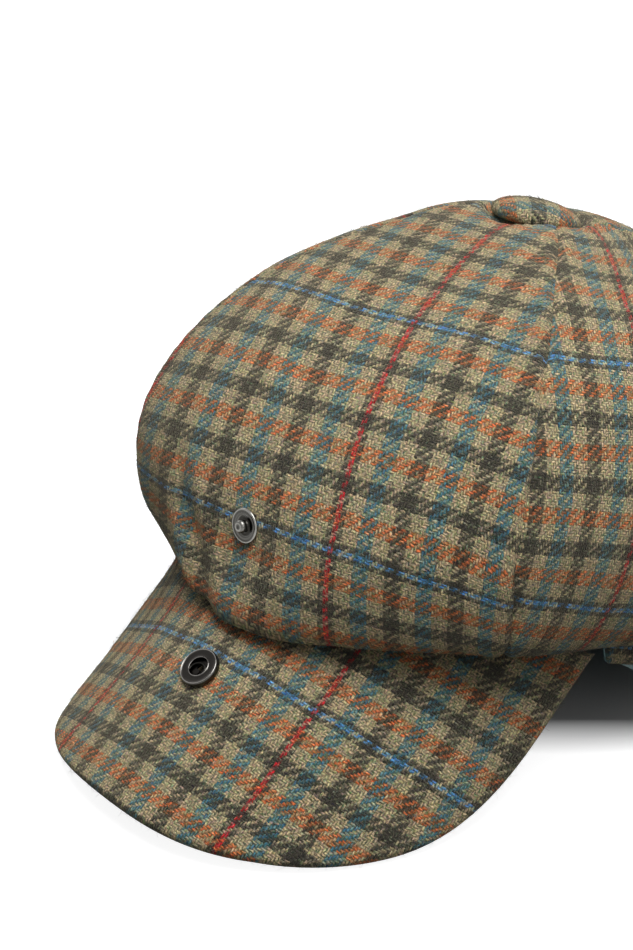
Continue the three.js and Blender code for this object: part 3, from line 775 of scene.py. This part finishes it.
def makeCrownPanel(side):
    ends = panelEnds[side]
    a, rows, flat = panelGrid(crownSkin, ends, 3.0, crown["rowStep"], 0.0)
    x, y = clothPlace(crownSkin, ends, a, rows)
    normal = normalsOf(flat)
    normal[:, 0] = normal[:, 1]
    aside = np.minimum(x - x[:1], x[-1:] - x)  # distance from the nearer seam
    high = 1 - smooth(rows, *crown["calmRows"])[None]
    soft = softLift(flat)
    ridge = crown["seamRidge"] * smooth(aside, crown["ridgeWidth"], crown["ridgeWidth"] - 2)
    groove = crown["seamDepth"] * np.exp(-(aside / crown["seamRound"]) ** 2)
    wave = np.sin(2 * math.pi * (y / crown["puckerStep"] + noiseAt(flat, crown["waveSize"], 3.0)))
    pucker = crown["pucker"] * wave * np.exp(-aside / crown["puckerReach"]) * smooth(y, *crown["puckerFrom"])
    lift = (soft + ridge + pucker) * high - groove * smooth(y, *crown["grooveFrom"])
    inner = panelGrid(crownSkin, ends, 3.0, crown["rowStep"], crown["cloth"])[2]
    inner = inner + normal * (soft * high)[..., None]
    piece = shell("crown_" + side, flat + normal * lift[..., None], inner, layCheck(side, x, y), tweedCloth)
    if side == "front":
        drill(piece, studPlace(), snap["postHole"])
    return wear(piece, "crown", "tweed", "crown_panel_" + side)


crownPanels = {side: makeCrownPanel(side) for side in panelEnds}


def makeSnapPatch():
    side = snap["patchSide"]
    turn = side / 2 / abs(float(crownSkin(0.0, studRow)[1]) + crown["shift"])
    down = np.linspace(0, side, snap["patchSteps"])[None]
    a = np.linspace(-turn, turn, snap["patchSteps"])[:, None] + 0 * down
    row = rowAtHeight(snap["studHeight"] + side / 2 - down) + 0 * a
    depth = crown["cloth"] + snap["patchRoom"]
    outer, inner = softPoint(a, row, depth), softPoint(a, row, depth + snap["patchCloth"])
    cloth = np.stack([a / turn * side / 2, down + 0 * a], -1)
    piece = shell("snap_patch", outer, inner, cloth, tweedCloth)
    drill(piece, studPlace(), snap["postHole"])
    return wear(piece, "crown", "tweed", "crown_snap_patch")


makeSnapPatch()
print("crown panels made")

lining = {"outer": 6.8, "overBand": 1.5, "cloth": 0.8, "step": 2.6, "ripple": 0.5, "rippleSize": 15.0,
          "pucker": 0.25, "puckerStep": 7.0, "puckerReach": 6.0, "seamRise": 0.5, "seamRound": 1.2,
          "calmRows": 0.3}


def makeLining(side):
    ends = panelEnds[side]
    a, rows, outer = panelGrid(liningSkin, ends, 2.0, lining["step"], lining["outer"])
    inner = panelGrid(liningSkin, ends, 2.0, lining["step"], lining["outer"] + lining["cloth"])[2]
    x, y = clothPlace(liningSkin, ends, a, rows)
    normal = normalsOf(outer)
    normal[:, 0] = normal[:, 1]
    aside = np.minimum(x - x[:1], x[-1:] - x)
    soft = noiseAt(outer, lining["rippleSize"], 5.0) * lining["ripple"] + settle(outer)
    wave = np.sin(2 * math.pi * y / lining["puckerStep"])
    pucker = lining["pucker"] * wave * np.exp(-aside / lining["puckerReach"])
    seam = lining["seamRise"] * np.exp(-(aside / lining["seamRound"]) ** 2)
    lift = ((soft + pucker) * smooth(2.0 - rows, 0.0, lining["calmRows"])[None] + seam)[..., None]
    piece = shell("lining_" + side, outer + normal * lift, inner + normal * lift, np.stack([x, y], -1),
                  tealSatin)
    return wear(piece, "crown", "satin", "lining_panel_" + side)


for side in panelEnds:
    makeLining(side)
print("linings made")


# The headband and the sweatband, which hang a little below the band's edge at the sides
band = {
    "steps": 720, "height": 24.0, "hang": 6.0, "hangFrom": math.radians(64.7), "hangTo": math.radians(67),
    "hangFull": math.radians(95), "hangEnd": math.radians(150), "drop": 4.0, "dropFrom": math.radians(68),
    "dropTo": math.radians(80), "turnHeight": 1.6, "turnIn": 0.7, "waves": 46, "waveDepth": 0.1,
    "restHeight": -4.5, "hem": 0.35, "hemHeight": 0.8, "groove": 0.12,
    "grooveUp": 3.0, "headRows": 30, "sweatRows": 40, "crowding": 1.3, "waveReach": 5.0, "insideTurn": 0.3,
}


# A ring given by its outer and inner points at each angle
def makeRing(name, outer, inner, material, slot, node):
    a = np.arange(band["steps"]) / band["steps"] * 2 * math.pi
    around = lengthAlong(bandPoint(np.append(a, 2 * math.pi), bandOutside, 0.0)[None], 1)[0]
    cloth = np.stack([around[:, None] + 0 * outer[:1, :, 2], np.append(outer, outer[:1], 0)[..., 2]], -1)
    piece = shell(name, outer, inner, cloth, material, wrap=True)
    return wear(piece, "crown", slot, node)


# The soft bands hang below their line at the sides, from just behind the peak's ends
def hang(a):
    turn = np.abs(turnOf(a))
    return smooth(turn, band["hangFrom"], band["hangTo"]) * smooth(turn, band["hangEnd"], band["hangFull"])


def makeHeadband():
    a = (np.arange(band["steps"]) / band["steps"] * 2 * math.pi)[:, None]
    low = -band["hang"] * hang(a)
    z = low + np.linspace(0, 1, band["headRows"])[None] * (band["height"] - low)
    up = z - low
    turned = np.clip(1 - up / band["turnHeight"], 0, 1) ** 2 * band["turnIn"]  # the turned lower edge
    fade = band["waveDepth"] * np.exp(-up / band["waveReach"])
    wave = np.sin(a * band["waves"] + 3 * np.sin(a * 5)) * fade
    outer = bandPoint(a, bandOutside - turned + wave, z)
    inner = bandPoint(a, bandInside + turned * band["insideTurn"], z)
    makeRing("headband_cloth", outer, inner, tweedCloth, "tweed", "headband")


def makeSweatband():
    a = (np.arange(band["steps"]) / band["steps"] * 2 * math.pi)[:, None]
    turn = np.abs(turnOf(a))
    fall = band["hang"] * hang(a) + band["drop"] * smooth(turn, band["dropFrom"], band["dropTo"])
    restBack = headFront + head["sweatCloth"]
    share = np.linspace(0, 1, band["sweatRows"])[None] ** band["crowding"]

    def face(out, rounding):
        edge = bandPoint(a, out, 0.0)
        floor = band["restHeight"] - math.tan(lean["angle"]) * (restBack - edge[..., 1])
        low = np.maximum(-fall, floor)
        z = low + (band["height"] - low) * share
        hem = np.exp(-((z - low) / band["hemHeight"]) ** 2) * rounding
        groove = np.exp(-((z - low - band["grooveUp"]) / 0.5) ** 2) * band["groove"] * np.sign(rounding)
        return bandPoint(a, out - hem - groove, z)

    outer, inner = face(head["sweatCloth"], band["hem"]), face(0.0, -band["hem"])
    makeRing("sweatband_satin", outer, inner, tealSatin, "satin", "sweatband")


makeHeadband()
makeSweatband()
print("bands made")

# The peak: two cloth covers over a board, on a middle surface given by a share across and a share out
peak = {
    "projection": 89.5, "end": 9.0, "half": math.radians(64), "slope": math.radians(54), "power": 4.0,
    "bow": 2.0, "swing": math.radians(3.5), "hingeBehind": 13.5, "cloth": 1.4, "board": 2.0, "gap": 0.3,
    "room": 0.6, "columns": 150, "rows": 76, "rim": 2.3, "sink": 0.12, "swell": 0.35, "swellSize": 26.0,
    "edgeRise": 0.18, "edgeRiseAt": 7.5, "edgeRiseWide": 2.5, "calmFrom": 6.0, "calmTo": 12.0,
    "boardIn": 4.0, "boardEnd": 0.06, "underCheck": (7.0, 13.0), "rootOut": 0.9, "changeWide": 0.12,
    "rimChange": [(0.12, -0.13), (0.25, -1.58), (0.4, -2.63), (0.5, -1.95), (0.62, 0.11), (0.75, 0.49),
                  (0.88, -1.27)],
    "lifts": [(0.1, 0.9, -0.82), (0.25, 0.5, -4.44), (0.25, 0.95, 0.89), (0.5, 0.95, 0.11),
              (0.75, 0.95, -0.22), (0.9, 0.8, 0.71)], "liftWide": 0.14, "liftLong": 0.45,
    "changeFull": 60, "sagFrom": 0.35, "sagCalm": (6.5, 20), "swellEdge": (1, 10), "crowding": 1.35,
    "boardColumns": 61, "boardRows": 31,
}
peakStack = 2 * peak["cloth"] + peak["board"] + 2 * peak["gap"]
run = np.array([0, -math.cos(peak["slope"]), -math.sin(peak["slope"])])
rise = np.array([0, -math.sin(peak["slope"]), math.cos(peak["slope"])])


def peakWidth(across):
    ease = np.clip(1 - np.abs(2 * across - 1) ** peak["power"], 0, 1) ** (1 / peak["power"])
    width = peak["end"] + (peak["projection"] - peak["end"]) * ease
    change = sum(v * np.exp(-((across - c) / peak["changeWide"]) ** 2) for c, v in peak["rimChange"])
    return width + change * np.clip(width / peak["changeFull"], 0, 1)


def peakMiddle(across, out):
    across, out = np.broadcast_arrays(np.asarray(across, float), np.asarray(out, float))
    turn = (2 * across - 1) * peak["half"]
    root = bandPoint(turn, bandInside + peak["rootOut"], 0.0)
    n = unit(np.cross(root - bandPoint(turn + 1e-3, bandInside + peak["rootOut"], 0.0), run))
    z = -peak["room"] - np.abs(headFront - peak["hingeBehind"] + root[..., 1]) * math.tan(peak["swing"])
    root = np.concatenate([root[..., :2], z[..., None]], -1) - n * peakStack / 2
    width = peakWidth(across)
    arch = peak["bow"] * 4 * out * (1 - out) * width / peak["projection"]
    return root + run * (width * out)[..., None] + rise * arch[..., None]


def peakNormal(across, out, e=1e-3):
    a, o = np.broadcast_arrays(np.clip(across, 0.004, 0.996), np.clip(out, 0.004, 0.996))
    n = np.cross(peakMiddle(a - e, o) - peakMiddle(a + e, o), peakMiddle(a, o + e) - peakMiddle(a, o - e))
    return unit(n)  # the top side


def fromSocket(middle):
    return np.linalg.norm(middle - peakMiddle(0.5, snap["socketAlong"] / peak["projection"]), axis=-1)


# The worn peak has sunk beside its middle, but lies flat round the snap
def peakSag(across, out, middle):
    lift = sum(v * np.exp(-((across - c) / peak["liftWide"]) ** 2 - ((out - o) / peak["liftLong"]) ** 2)
               for c, o, v in peak["lifts"])
    return lift * smooth(out, 0.0, peak["sagFrom"]) * smooth(fromSocket(middle), *peak["sagCalm"])


# Lengths across and down the peak laid flat, and how far each point is from its sewn edge
def peakFlat(middle):
    root = middle[:, 0]
    flat = root - (root @ run)[:, None] * run
    x1 = lengthAlong(flat[None], 1)[0]
    x1 = x1 - x1[len(x1) // 2]
    x = x1[:, None] + np.zeros(middle.shape[:2])
    y = middle @ run - root[len(x1) // 2] @ run
    edge = np.concatenate([
        np.stack([np.full(12, x1[0]), np.linspace(y[0, 0], y[0, -1], 12)], -1),
        np.stack([x1, y[:, -1]], -1),
        np.stack([np.full(12, x1[-1]), np.linspace(y[-1, -1], y[-1, 0], 12)], -1),
    ])
    a, b = edge[:-1], edge[1:]
    p = np.stack([x, y], -1).reshape(-1, 1, 2)
    d = b - a
    k = np.clip(((p - a) * d).sum(-1) / ((d * d).sum(-1) + 1e-9), 0, 1)
    return x, y, np.linalg.norm(p - a - d * k[..., None], axis=-1).min(1).reshape(x.shape)


def makePeakCover(name, node, up):
    across = ((1 - np.cos(math.pi * np.linspace(0, 1, peak["columns"] + 1))) / 2)[:, None]
    out = 1 - (1 - np.linspace(0, 1, peak["rows"])[None]) ** peak["crowding"]
    middle, n = peakMiddle(across, out), peakNormal(across, out)
    x, y, far = peakFlat(middle)
    sag = peakSag(across, out, middle)
    rim = peak["rim"]
    bulge = np.sqrt(np.clip(1 - ((rim - np.minimum(far, rim)) / rim) ** 2, 0, 1))
    calm = smooth(far, *peak["swellEdge"]) * smooth(fromSocket(middle), peak["calmFrom"], peak["calmTo"])
    soft = noiseAt(middle, peak["swellSize"], 11.0 if up else 31.0) * peak["swell"] * calm
    ease = peak["edgeRise"] * np.exp(-((far - peak["edgeRiseAt"]) / peak["edgeRiseWide"]) ** 2)
    outside = peak["sink"] + (peakStack / 2 - peak["sink"]) * bulge + soft + ease
    inside = peak["sink"] + (peak["board"] / 2 + peak["gap"] - peak["sink"]) * smooth(far, 0.2, rim)
    sign = 1 if up else -1
    cloth = layCheck("peak", x, y)
    if not up:
        cloth = cloth * np.array([-1, 1]) + np.array(peak["underCheck"])
    piece = shell(name, middle + n * (sag + sign * outside)[..., None],
                  middle + n * (sag + sign * inside)[..., None], cloth, tweedCloth)
    drill(piece, socketPlace(), snap["postHole"])
    return wear(piece, "peak", "tweed", node)


def makeBoard():
    share = (1 - np.cos(math.pi * np.linspace(0, 1, peak["boardColumns"]))) / 2
    across = (peak["boardEnd"] + (1 - 2 * peak["boardEnd"]) * share)[:, None]
    width = peakWidth(across)
    share = np.linspace(0, 1, peak["boardRows"])[None]
    out = (peak["boardIn"] + (width - 2 * peak["boardIn"]) * share) / width
    middle, n = peakMiddle(across, out), peakNormal(across, out)
    sag = peakSag(across, out, middle)
    half = peak["board"] / 2
    piece = shell("peak_card", middle + n * (sag + half)[..., None], middle + n * (sag - half)[..., None],
                  middle[..., :2], boardPulp, sharp=40)
    drill(piece, socketPlace(), snap["postHole"])
    return wear(piece, "peak", "board", "peak_board")


peakTop = makePeakCover("peak_top", "peak_top_cover", True)
makePeakCover("peak_under", "peak_under_cover", False)
makeBoard()
print("peak made")


# The covered button: cloth over a shallow dome, drawn in under its edge
button = {"radius": 14.5, "dome": 8.0, "edge": 2.6, "cloth": 1.4, "lip": 10.5, "steps": 160, "gap": 0.3,
          "pleats": 14, "pleatDepth": 0.14, "clothTurn": math.radians(-45), "clothAt": (40, 41),
          "pleatTop": (5.0, 0.6), "pleatFoot": (-0.1, 0.5), "topSteps": 22, "edgeSteps": 10}


def makeButton():
    base = (0.0, -crown["shift"], crown["height"] + button["gap"])
    radius, e, thick = button["radius"], button["edge"], button["cloth"]

    def domeSection(inset):
        top = [((radius - inset) * math.cos(v), e + (button["dome"] - e - inset) * math.sin(v))
               for v in np.radians(np.linspace(90, 0, button["topSteps"]))]
        return top + [(radius - e + (e - inset) * math.cos(v), e - (e - inset) * math.sin(v))
                      for v in np.radians(np.linspace(0, 90, button["edgeSteps"]))[1:]]

    outer, inner = domeSection(0.0), domeSection(thick)
    profile = outer + [(button["lip"], 0.0), (button["lip"], thick)] + inner[::-1]
    c, s = math.cos(button["clothTurn"]), math.sin(button["clothTurn"])
    section = np.array(outer)
    along = lengthAlong(section[None], 1)[0]

    def cloth(p):
        x, y = p[0], p[1] + crown["shift"]
        r = math.hypot(x, y)
        nearest = np.argmin(np.hypot(section[:, 0] - r, section[:, 1] - p[2] + base[2]))
        k = along[nearest] / r if r > 0.01 else 1
        return (x * c + y * s) * k + button["clothAt"][0], (y * c - x * s) * k + button["clothAt"][1]

    piece = lathe("button_cloth", profile, base, (0, 0, 1), button["steps"], tweedCloth, cloth)
    back = np.array([v.co for v in piece.data.vertices])
    middle = toRow(np.array(base))
    up = unit(toRow(np.array(base) + np.array([0, 0, 1])) - middle)
    height = (back - middle) @ up / mm
    away = back - middle - np.outer((back - middle) @ up, up)
    angle = np.arctan2(away[:, 0], away[:, 1])
    low = smooth(height, *button["pleatTop"]) * smooth(height, *button["pleatFoot"])
    wave = np.sin(angle * button["pleats"] + 1.3 * np.sin(angle * 3)) * button["pleatDepth"] * low
    far = np.linalg.norm(away, axis=-1, keepdims=True) + 1e-9
    back = back + away / far * (wave * mm)[:, None]
    piece.data.vertices.foreach_set("co", back.astype(np.float32).ravel())
    piece.data.update()
    mark(piece, "outside", np.arange(len(back)) < 1 + button["steps"] * (len(outer) - 1))
    return wear(piece, "crown", "tweed", "button_cover")


buttonCloth = makeButton()
print("button made")


def makeStud():
    p, n = placeOn(lambda row, a: softPoint(a, row), studRow, 0.0)
    # the third numbers: the outer bead and the ball's top pale, as wear and painted highlight, the dish near
    # nothing, as painted shade
    profile = [(0, 2.5), (1.2, 2.5), (1.2, 0), (4.9, 0)] + arcPoints(5.0, 0.45, 0.45, -90, 90, 9, 0.9)
    profile += [(4.85, 0.86, 0.4), (4.65, 0.74, 0.12), (4.2, 0.7, 0.16), (4.1, 0.74, 0.3), (3.5, 0.72, 0.16),
                (3.25, 0.62, 0.4), (3.05, 0.4, 0.05), (2.5, 0.3, 0.0), (2.0, 0.42, 0.0), (1.75, 0.7, 0.0),
                (1.62, 1.2, 0.1)]
    profile += arcPoints(0.8, 2.0, 1.3, -32, 62, 12, 0.5)
    profile += [(1.1, 3.2, 0.9), (0.75, 3.2, 0.3), (0.4, 3.08, 0.1), (0, 3.05, 0.1)]
    piece = lathe("snap_stud", profile, p + n * snap["gap"], n, snap["steps"], paleMetal)
    return wear(piece, "crown", "steel", "crown_snap_stud")


def makeSocket():
    p, n = socketPlace()
    r, h = snap["socketRadius"], snap["socketHeight"]
    # the third numbers: the top bead and the inner lip pale, as wear and painted highlight, the flat ring and
    # the hole dark
    profile = [(1.2, 0), (r - 0.5, 0)] + arcPoints(r - 0.5, 0.5, 0.5, -90, 0, 5, 0.2) + [(r, h - 1.2, 0.15)]
    profile += arcPoints(r - 0.6, h - 0.6, 0.6, 0, 60, 6, 0.2)
    profile += arcPoints(r - 0.38, h - 0.14, 0.14, 40, 140, 6, 0.8)
    profile += [(5.72, h - 0.16, 0.2), (5.5, h - 0.26, 0.05), (5.0, h - 0.3, 0.03), (4.2, h - 0.3, 0.03),
                (3.6, h - 0.3, 0.03), (3.5, h - 0.27, 0.1)]
    profile += arcPoints(3.3, h - 0.24, 0.13, 80, 190, 6, 0.6)
    profile += [(3.15, h - 0.6, 0.1), (3.6, h - 0.75, 0.0), (3.6, 0.7, 0.0), (1.2, 0.7), (1.2, 0)]
    piece = lathe("snap_socket", profile, p + n * (peakStack / 2 + snap["gap"]), n, snap["steps"], gunmetal)
    return wear(piece, "peak", "gunmetal", "peak_snap_socket")


makeStud()
makeSocket()

for name, material in (("crown_snap_post", gunmetal), ("peak_snap_post", gunmetal),
                       ("peak_snap_spring", paleMetal), ("button_shell", paleMetal),
                       ("button_back", paleMetal), ("button_tie", tieThread)):
    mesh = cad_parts[name].data
    mesh.materials.clear()
    mesh.materials.append(material)
print("snaps and hidden pieces made")


def outOf(made, name):
    return next(k for k in made.outputs if k.name == name and k.enabled)


# Loose fibres: bent tapering strands that lean over the cloth, each in the colour of the yarn at its root
nap = {"density": 0.15e6, "length": 0.0024, "radius": 0.00004, "curl": 0.0016, "shortest": 0.45,
       "longest": 1.4, "leanLeast": 0.9, "leanMost": 1.5, "waveScale": 900.0, "taper": 0.7}


def buildNapHairs():
    tree, g, out = newGroup("napHairs", "GeometryNodeTree",
                            {"Geometry": "Geometry", "Density": "Float", "Length": "Float", "Radius": "Float",
                             "Curl": "Float", "Seed": "Int", "Fibre": "Material"}, {"Geometry": "Geometry"})
    side = node(tree, "GeometryNodeInputNamedAttribute", {"data_type": "FLOAT"}, Name="outside")
    dense = multiply(tree, g["Density"], outOf(side, "Attribute"))
    spread = node(tree, "GeometryNodeDistributePointsOnFaces", {"distribute_method": "RANDOM"},
                  Mesh=g["Geometry"], Density=dense, Seed=g["Seed"])
    line = node(tree, "GeometryNodeCurvePrimitiveLine", {"mode": "POINTS"}, Start=(0, 0, 0), End=(0, 0, 1))
    strand = node(tree, "GeometryNodeResampleCurve", Curve=line, Count=4)
    turn = node(tree, "FunctionNodeRandomValue", {"data_type": "FLOAT_VECTOR"}, Seed=g["Seed"],
                Min=(nap["leanLeast"], 0.0, 0.0), Max=(nap["leanMost"], 0.0, 6.28))
    lean = node(tree, "FunctionNodeEulerToRotation", Euler=outOf(turn, "Value"))
    placed = node(tree, "FunctionNodeRotateRotation", {"rotation_space": "LOCAL"},
                  Rotation=spread.outputs["Rotation"], RotateBy=lean)
    long = node(tree, "FunctionNodeRandomValue", {"data_type": "FLOAT"}, Min=nap["shortest"],
                Max=nap["longest"], Seed=7)
    size = multiply(tree, outOf(long, "Value"), g["Length"])
    strands = node(tree, "GeometryNodeInstanceOnPoints", Points=spread.outputs["Points"],
                   Instance=strand, Rotation=placed, Scale=size)
    loose = node(tree, "GeometryNodeRealizeInstances", Geometry=strands)
    along = node(tree, "GeometryNodeSplineParameter").outputs["Factor"]
    where = node(tree, "GeometryNodeInputPosition")
    waves = node(tree, "ShaderNodeTexNoise", Vector=where, Scale=nap["waveScale"], Detail=1.0)
    middle = operate(tree, "ShaderNodeVectorMath", "SUBTRACT", waves.outputs["Color"], (0.5, 0.5, 0.5))
    push = node(tree, "ShaderNodeVectorMath", {"operation": "SCALE"}, Vector=middle,
                Scale=multiply(tree, along, g["Curl"]))
    curled = node(tree, "GeometryNodeSetPosition", Geometry=loose, Offset=push)
    thin = multiply(tree, mathNode(tree, "MULTIPLY_ADD", along, -nap["taper"], 1.0), g["Radius"])
    ready = node(tree, "GeometryNodeSetCurveRadius", Curve=curled, Radius=thin)
    section = node(tree, "GeometryNodeCurvePrimitiveCircle", {"mode": "RADIUS"}, Resolution=3, Radius=1.0)
    solid = node(tree, "GeometryNodeCurveToMesh", Curve=ready, ProfileCurve=section,
                 FillCaps=True)
    scale = [k for k in solid.inputs if k.name == "Scale"]
    if scale:
        give(tree, scale[0], thin)
    root = node(tree, "GeometryNodeInputNamedAttribute", {"data_type": "FLOAT_VECTOR"}, Name="cloth")
    kept = node(tree, "GeometryNodeStoreNamedAttribute", {"data_type": "FLOAT2", "domain": "CORNER"},
                Geometry=solid, Name="cloth", Value=outOf(root, "Attribute"))
    whole = node(tree, "GeometryNodeRealizeInstances", Geometry=kept)
    dressed = node(tree, "GeometryNodeSetMaterial", Geometry=whole, Material=g["Fibre"])
    give(tree, out["Geometry"], dressed)
    return tree


# A row of stitches along the points of a mesh line
def buildStitchRow():
    tree, g, out = newGroup("stitchRow", "GeometryNodeTree",
                            {"Geometry": "Geometry", "Step": "Float", "Length": "Float",
                             "Thickness": "Float", "Thread": "Material"}, {"Geometry": "Geometry"})
    path = node(tree, "GeometryNodeMeshToCurve", Mesh=g["Geometry"])
    even = node(tree, "GeometryNodeResampleCurve", {"mode": "LENGTH"}, Curve=path, Length=g["Step"])
    points = node(tree, "GeometryNodeCurveToPoints", {"mode": "EVALUATED"}, Curve=even)
    stitch = node(tree, "GeometryNodeMeshUVSphere", Segments=8, Rings=5, Radius=0.5)
    facing = node(tree, "FunctionNodeAlignRotationToVector", {"axis": "X"}, Vector=points.outputs["Tangent"])
    size = node(tree, "ShaderNodeCombineXYZ", X=g["Length"], Y=g["Thickness"], Z=g["Thickness"])
    row = node(tree, "GeometryNodeInstanceOnPoints", Points=points, Instance=stitch,
               Rotation=facing, Scale=size)
    whole = node(tree, "GeometryNodeRealizeInstances", Geometry=row)
    dressed = node(tree, "GeometryNodeSetMaterial", Geometry=whole, Material=g["Thread"])
    give(tree, out["Geometry"], dressed)
    return tree


# Runs a tree on a mesh and keeps its result as a plain piece
def grow(name, mesh, tree, values, body, slot):
    carrier = addObject("carrier", mesh)
    modifier = carrier.modifiers.new("nodes", "NODES")
    modifier.node_group = tree
    sockets = {k.name: k.identifier for k in tree.interface.items_tree if k.in_out == "INPUT"}
    for label, value in values.items():
        modifier[sockets[label]] = value
    made = bpy.data.meshes.new_from_object(carrier.evaluated_get(bpy.context.evaluated_depsgraph_get()))
    bpy.data.objects.remove(carrier)
    made.name = name
    points = np.empty(len(made.vertices) * 3, np.float32)
    made.vertices.foreach_get("co", points)
    points[2::3] = np.maximum(points[2::3], 0.0002)  # fibres bend where they meet the floor
    made.vertices.foreach_set("co", points)
    made.update()
    print(name, len(made.polygons), "faces")
    return wear(addObject(name, made), body, slot)


napHairs = buildNapHairs()
napFibre = tweedMaterial("napFibre", 0.0)
hairy = [(crownPanels["front"], "crown", 1.0), (crownPanels["left"], "crown", 1.0),
         (crownPanels["back"], "crown", 0.7), (crownPanels["right"], "crown", 0.7),
         (peakTop, "peak", 1.2), (buttonCloth, "crown", 1.5)]
for k, (piece, body, density) in enumerate(hairy):
    values = {"Density": nap["density"] * density, "Length": nap["length"], "Radius": nap["radius"],
              "Curl": nap["curl"], "Seed": 11 + k, "Fibre": napFibre}
    grow("nap_" + piece.name, piece.data, napHairs, values, body, "tweed")

stitch = {"step": 0.0032, "length": 0.0024, "thick": 0.00045, "belowEdge": 3.0, "out": -0.05}


def makeBandStitches():
    count = band["steps"]
    a = np.arange(count) / count * 2 * math.pi
    points = toRow(bandPoint(a, stitch["out"], band["height"] - stitch["belowEdge"]))
    mesh = bpy.data.meshes.new("stitchPath")
    mesh.from_pydata(points.tolist(), [(k, (k + 1) % count) for k in range(count)], [])
    values = {"Step": stitch["step"], "Length": stitch["length"], "Thickness": stitch["thick"],
              "Thread": tieThread}
    grow("sweatband_stitches", mesh, buildStitchRow(), values, "crown", "thread")


makeBandStitches()
print("nap and stitches made")


# Camera, floor and light
def aim(obj, place, target):
    obj.location = place
    obj.rotation_euler = (Vector(target) - Vector(place)).to_track_quat("-Z", "Y").to_euler()


view = {"place": (0.55232, -0.61182, 0.45416), "target": (-0.02445, -0.03505, 0.0738), "lens": 107.43}
camera = addObject("camera", bpy.data.cameras.new("camera"))
aim(camera, view["place"], view["target"])
camera.data.lens = view["lens"]
camera.data.sensor_width = 36
camera.data.clip_start = 0.01
bpy.context.scene.camera = camera

studio = {
    # where the floor's painted glow starts to hide the shadow: by the distance from the middle, and by the
    # distance in front
    "shadowEnds": [("LENGTH", (0, 0, 0), 0.085, 0.12), ("DOT_PRODUCT", (0.7071, -0.7071, 0.0), 0.034, 0.056)],
    "floorSize": 6.0, "floorWhite": 0.5, "floorBounce": 0.05, "world": 0.085,
    "lamps": [("topLamp", (0.32, -0.22, 1.3), 1.0, 20.0), ("leftLamp", (-1.2, -0.1, 0.8), 0.8, 2.2),
              ("rightLamp", (1.0, -0.5, 0.75), 0.8, 2.6), ("backLamp", (-0.5, 1.2, 0.9), 0.8, 3.0)],
}


def makeFloor():
    s = studio["floorSize"]
    mesh = bpy.data.meshes.new("floor")
    mesh.from_pydata([(-s, -s, 0), (s, -s, 0), (s, s, 0), (-s, s, 0)], [], [(0, 1, 2, 3)])
    material, tree, shader = newMaterial("paleFloor", Roughness=0.9, Specular_IOR_Level=0.0,
                                         Emission_Color=(1, 1, 1, 1))
    path = tree.nodes.new("ShaderNodeLightPath").outputs
    seen = mathNode(tree, "MAXIMUM", path["Is Camera Ray"], path["Is Glossy Ray"])
    low, high = studio["floorBounce"], studio["floorWhite"]
    give(tree, shader.inputs["Base Color"], mixColor(tree, seen, (low, low, low, 1), (high, high, high, 1)))
    place = tree.nodes.new("ShaderNodeTexCoord").outputs["Object"]
    # painted light: for camera rays the floor glows white beyond the shadow, away from the middle and in front
    # of it
    glowRamps = []  # pure white beyond the shadow: away from the middle, and in front of it
    for operation, direction, start, end in studio["shadowEnds"]:
        reach = operate(tree, "ShaderNodeVectorMath", operation, place, direction).outputs["Value"]
        glowRamps.append(ranged(tree, reach, 0.0, 0.9, start, end))
    far = mathNode(tree, "MAXIMUM", *glowRamps)
    give(tree, shader.inputs["Emission Strength"], multiply(tree, seen, far))
    mesh.materials.append(material)
    addObject("floor", mesh)


def makeWorld():
    world = bpy.data.worlds.new("studio")
    bpy.context.scene.world = world
    world.use_nodes = True
    tree = world.node_tree
    back = tree.nodes["Background"]
    path = tree.nodes.new("ShaderNodeLightPath").outputs
    seen = mathNode(tree, "MAXIMUM", path["Is Camera Ray"], path["Is Glossy Ray"])
    seen = mathNode(tree, "MAXIMUM", seen, path["Is Transmission Ray"])
    light = add(tree, multiply(tree, seen, 1.0 - studio["world"]), studio["world"])
    give(tree, back.inputs["Color"], (1, 1, 1, 1))
    give(tree, back.inputs["Strength"], light)


def addLamp(name, place, size, energy):
    data = bpy.data.lights.new(name, "AREA")
    data.shape = "DISK"
    data.size = size
    data.energy = energy
    aim(addObject(name, data), place, (0, 0, 0.05))


makeFloor()
makeWorld()
for lamp in studio["lamps"]:
    addLamp(*lamp)

bpy.context.scene.view_settings.view_transform = "Standard"
print("scene ready")
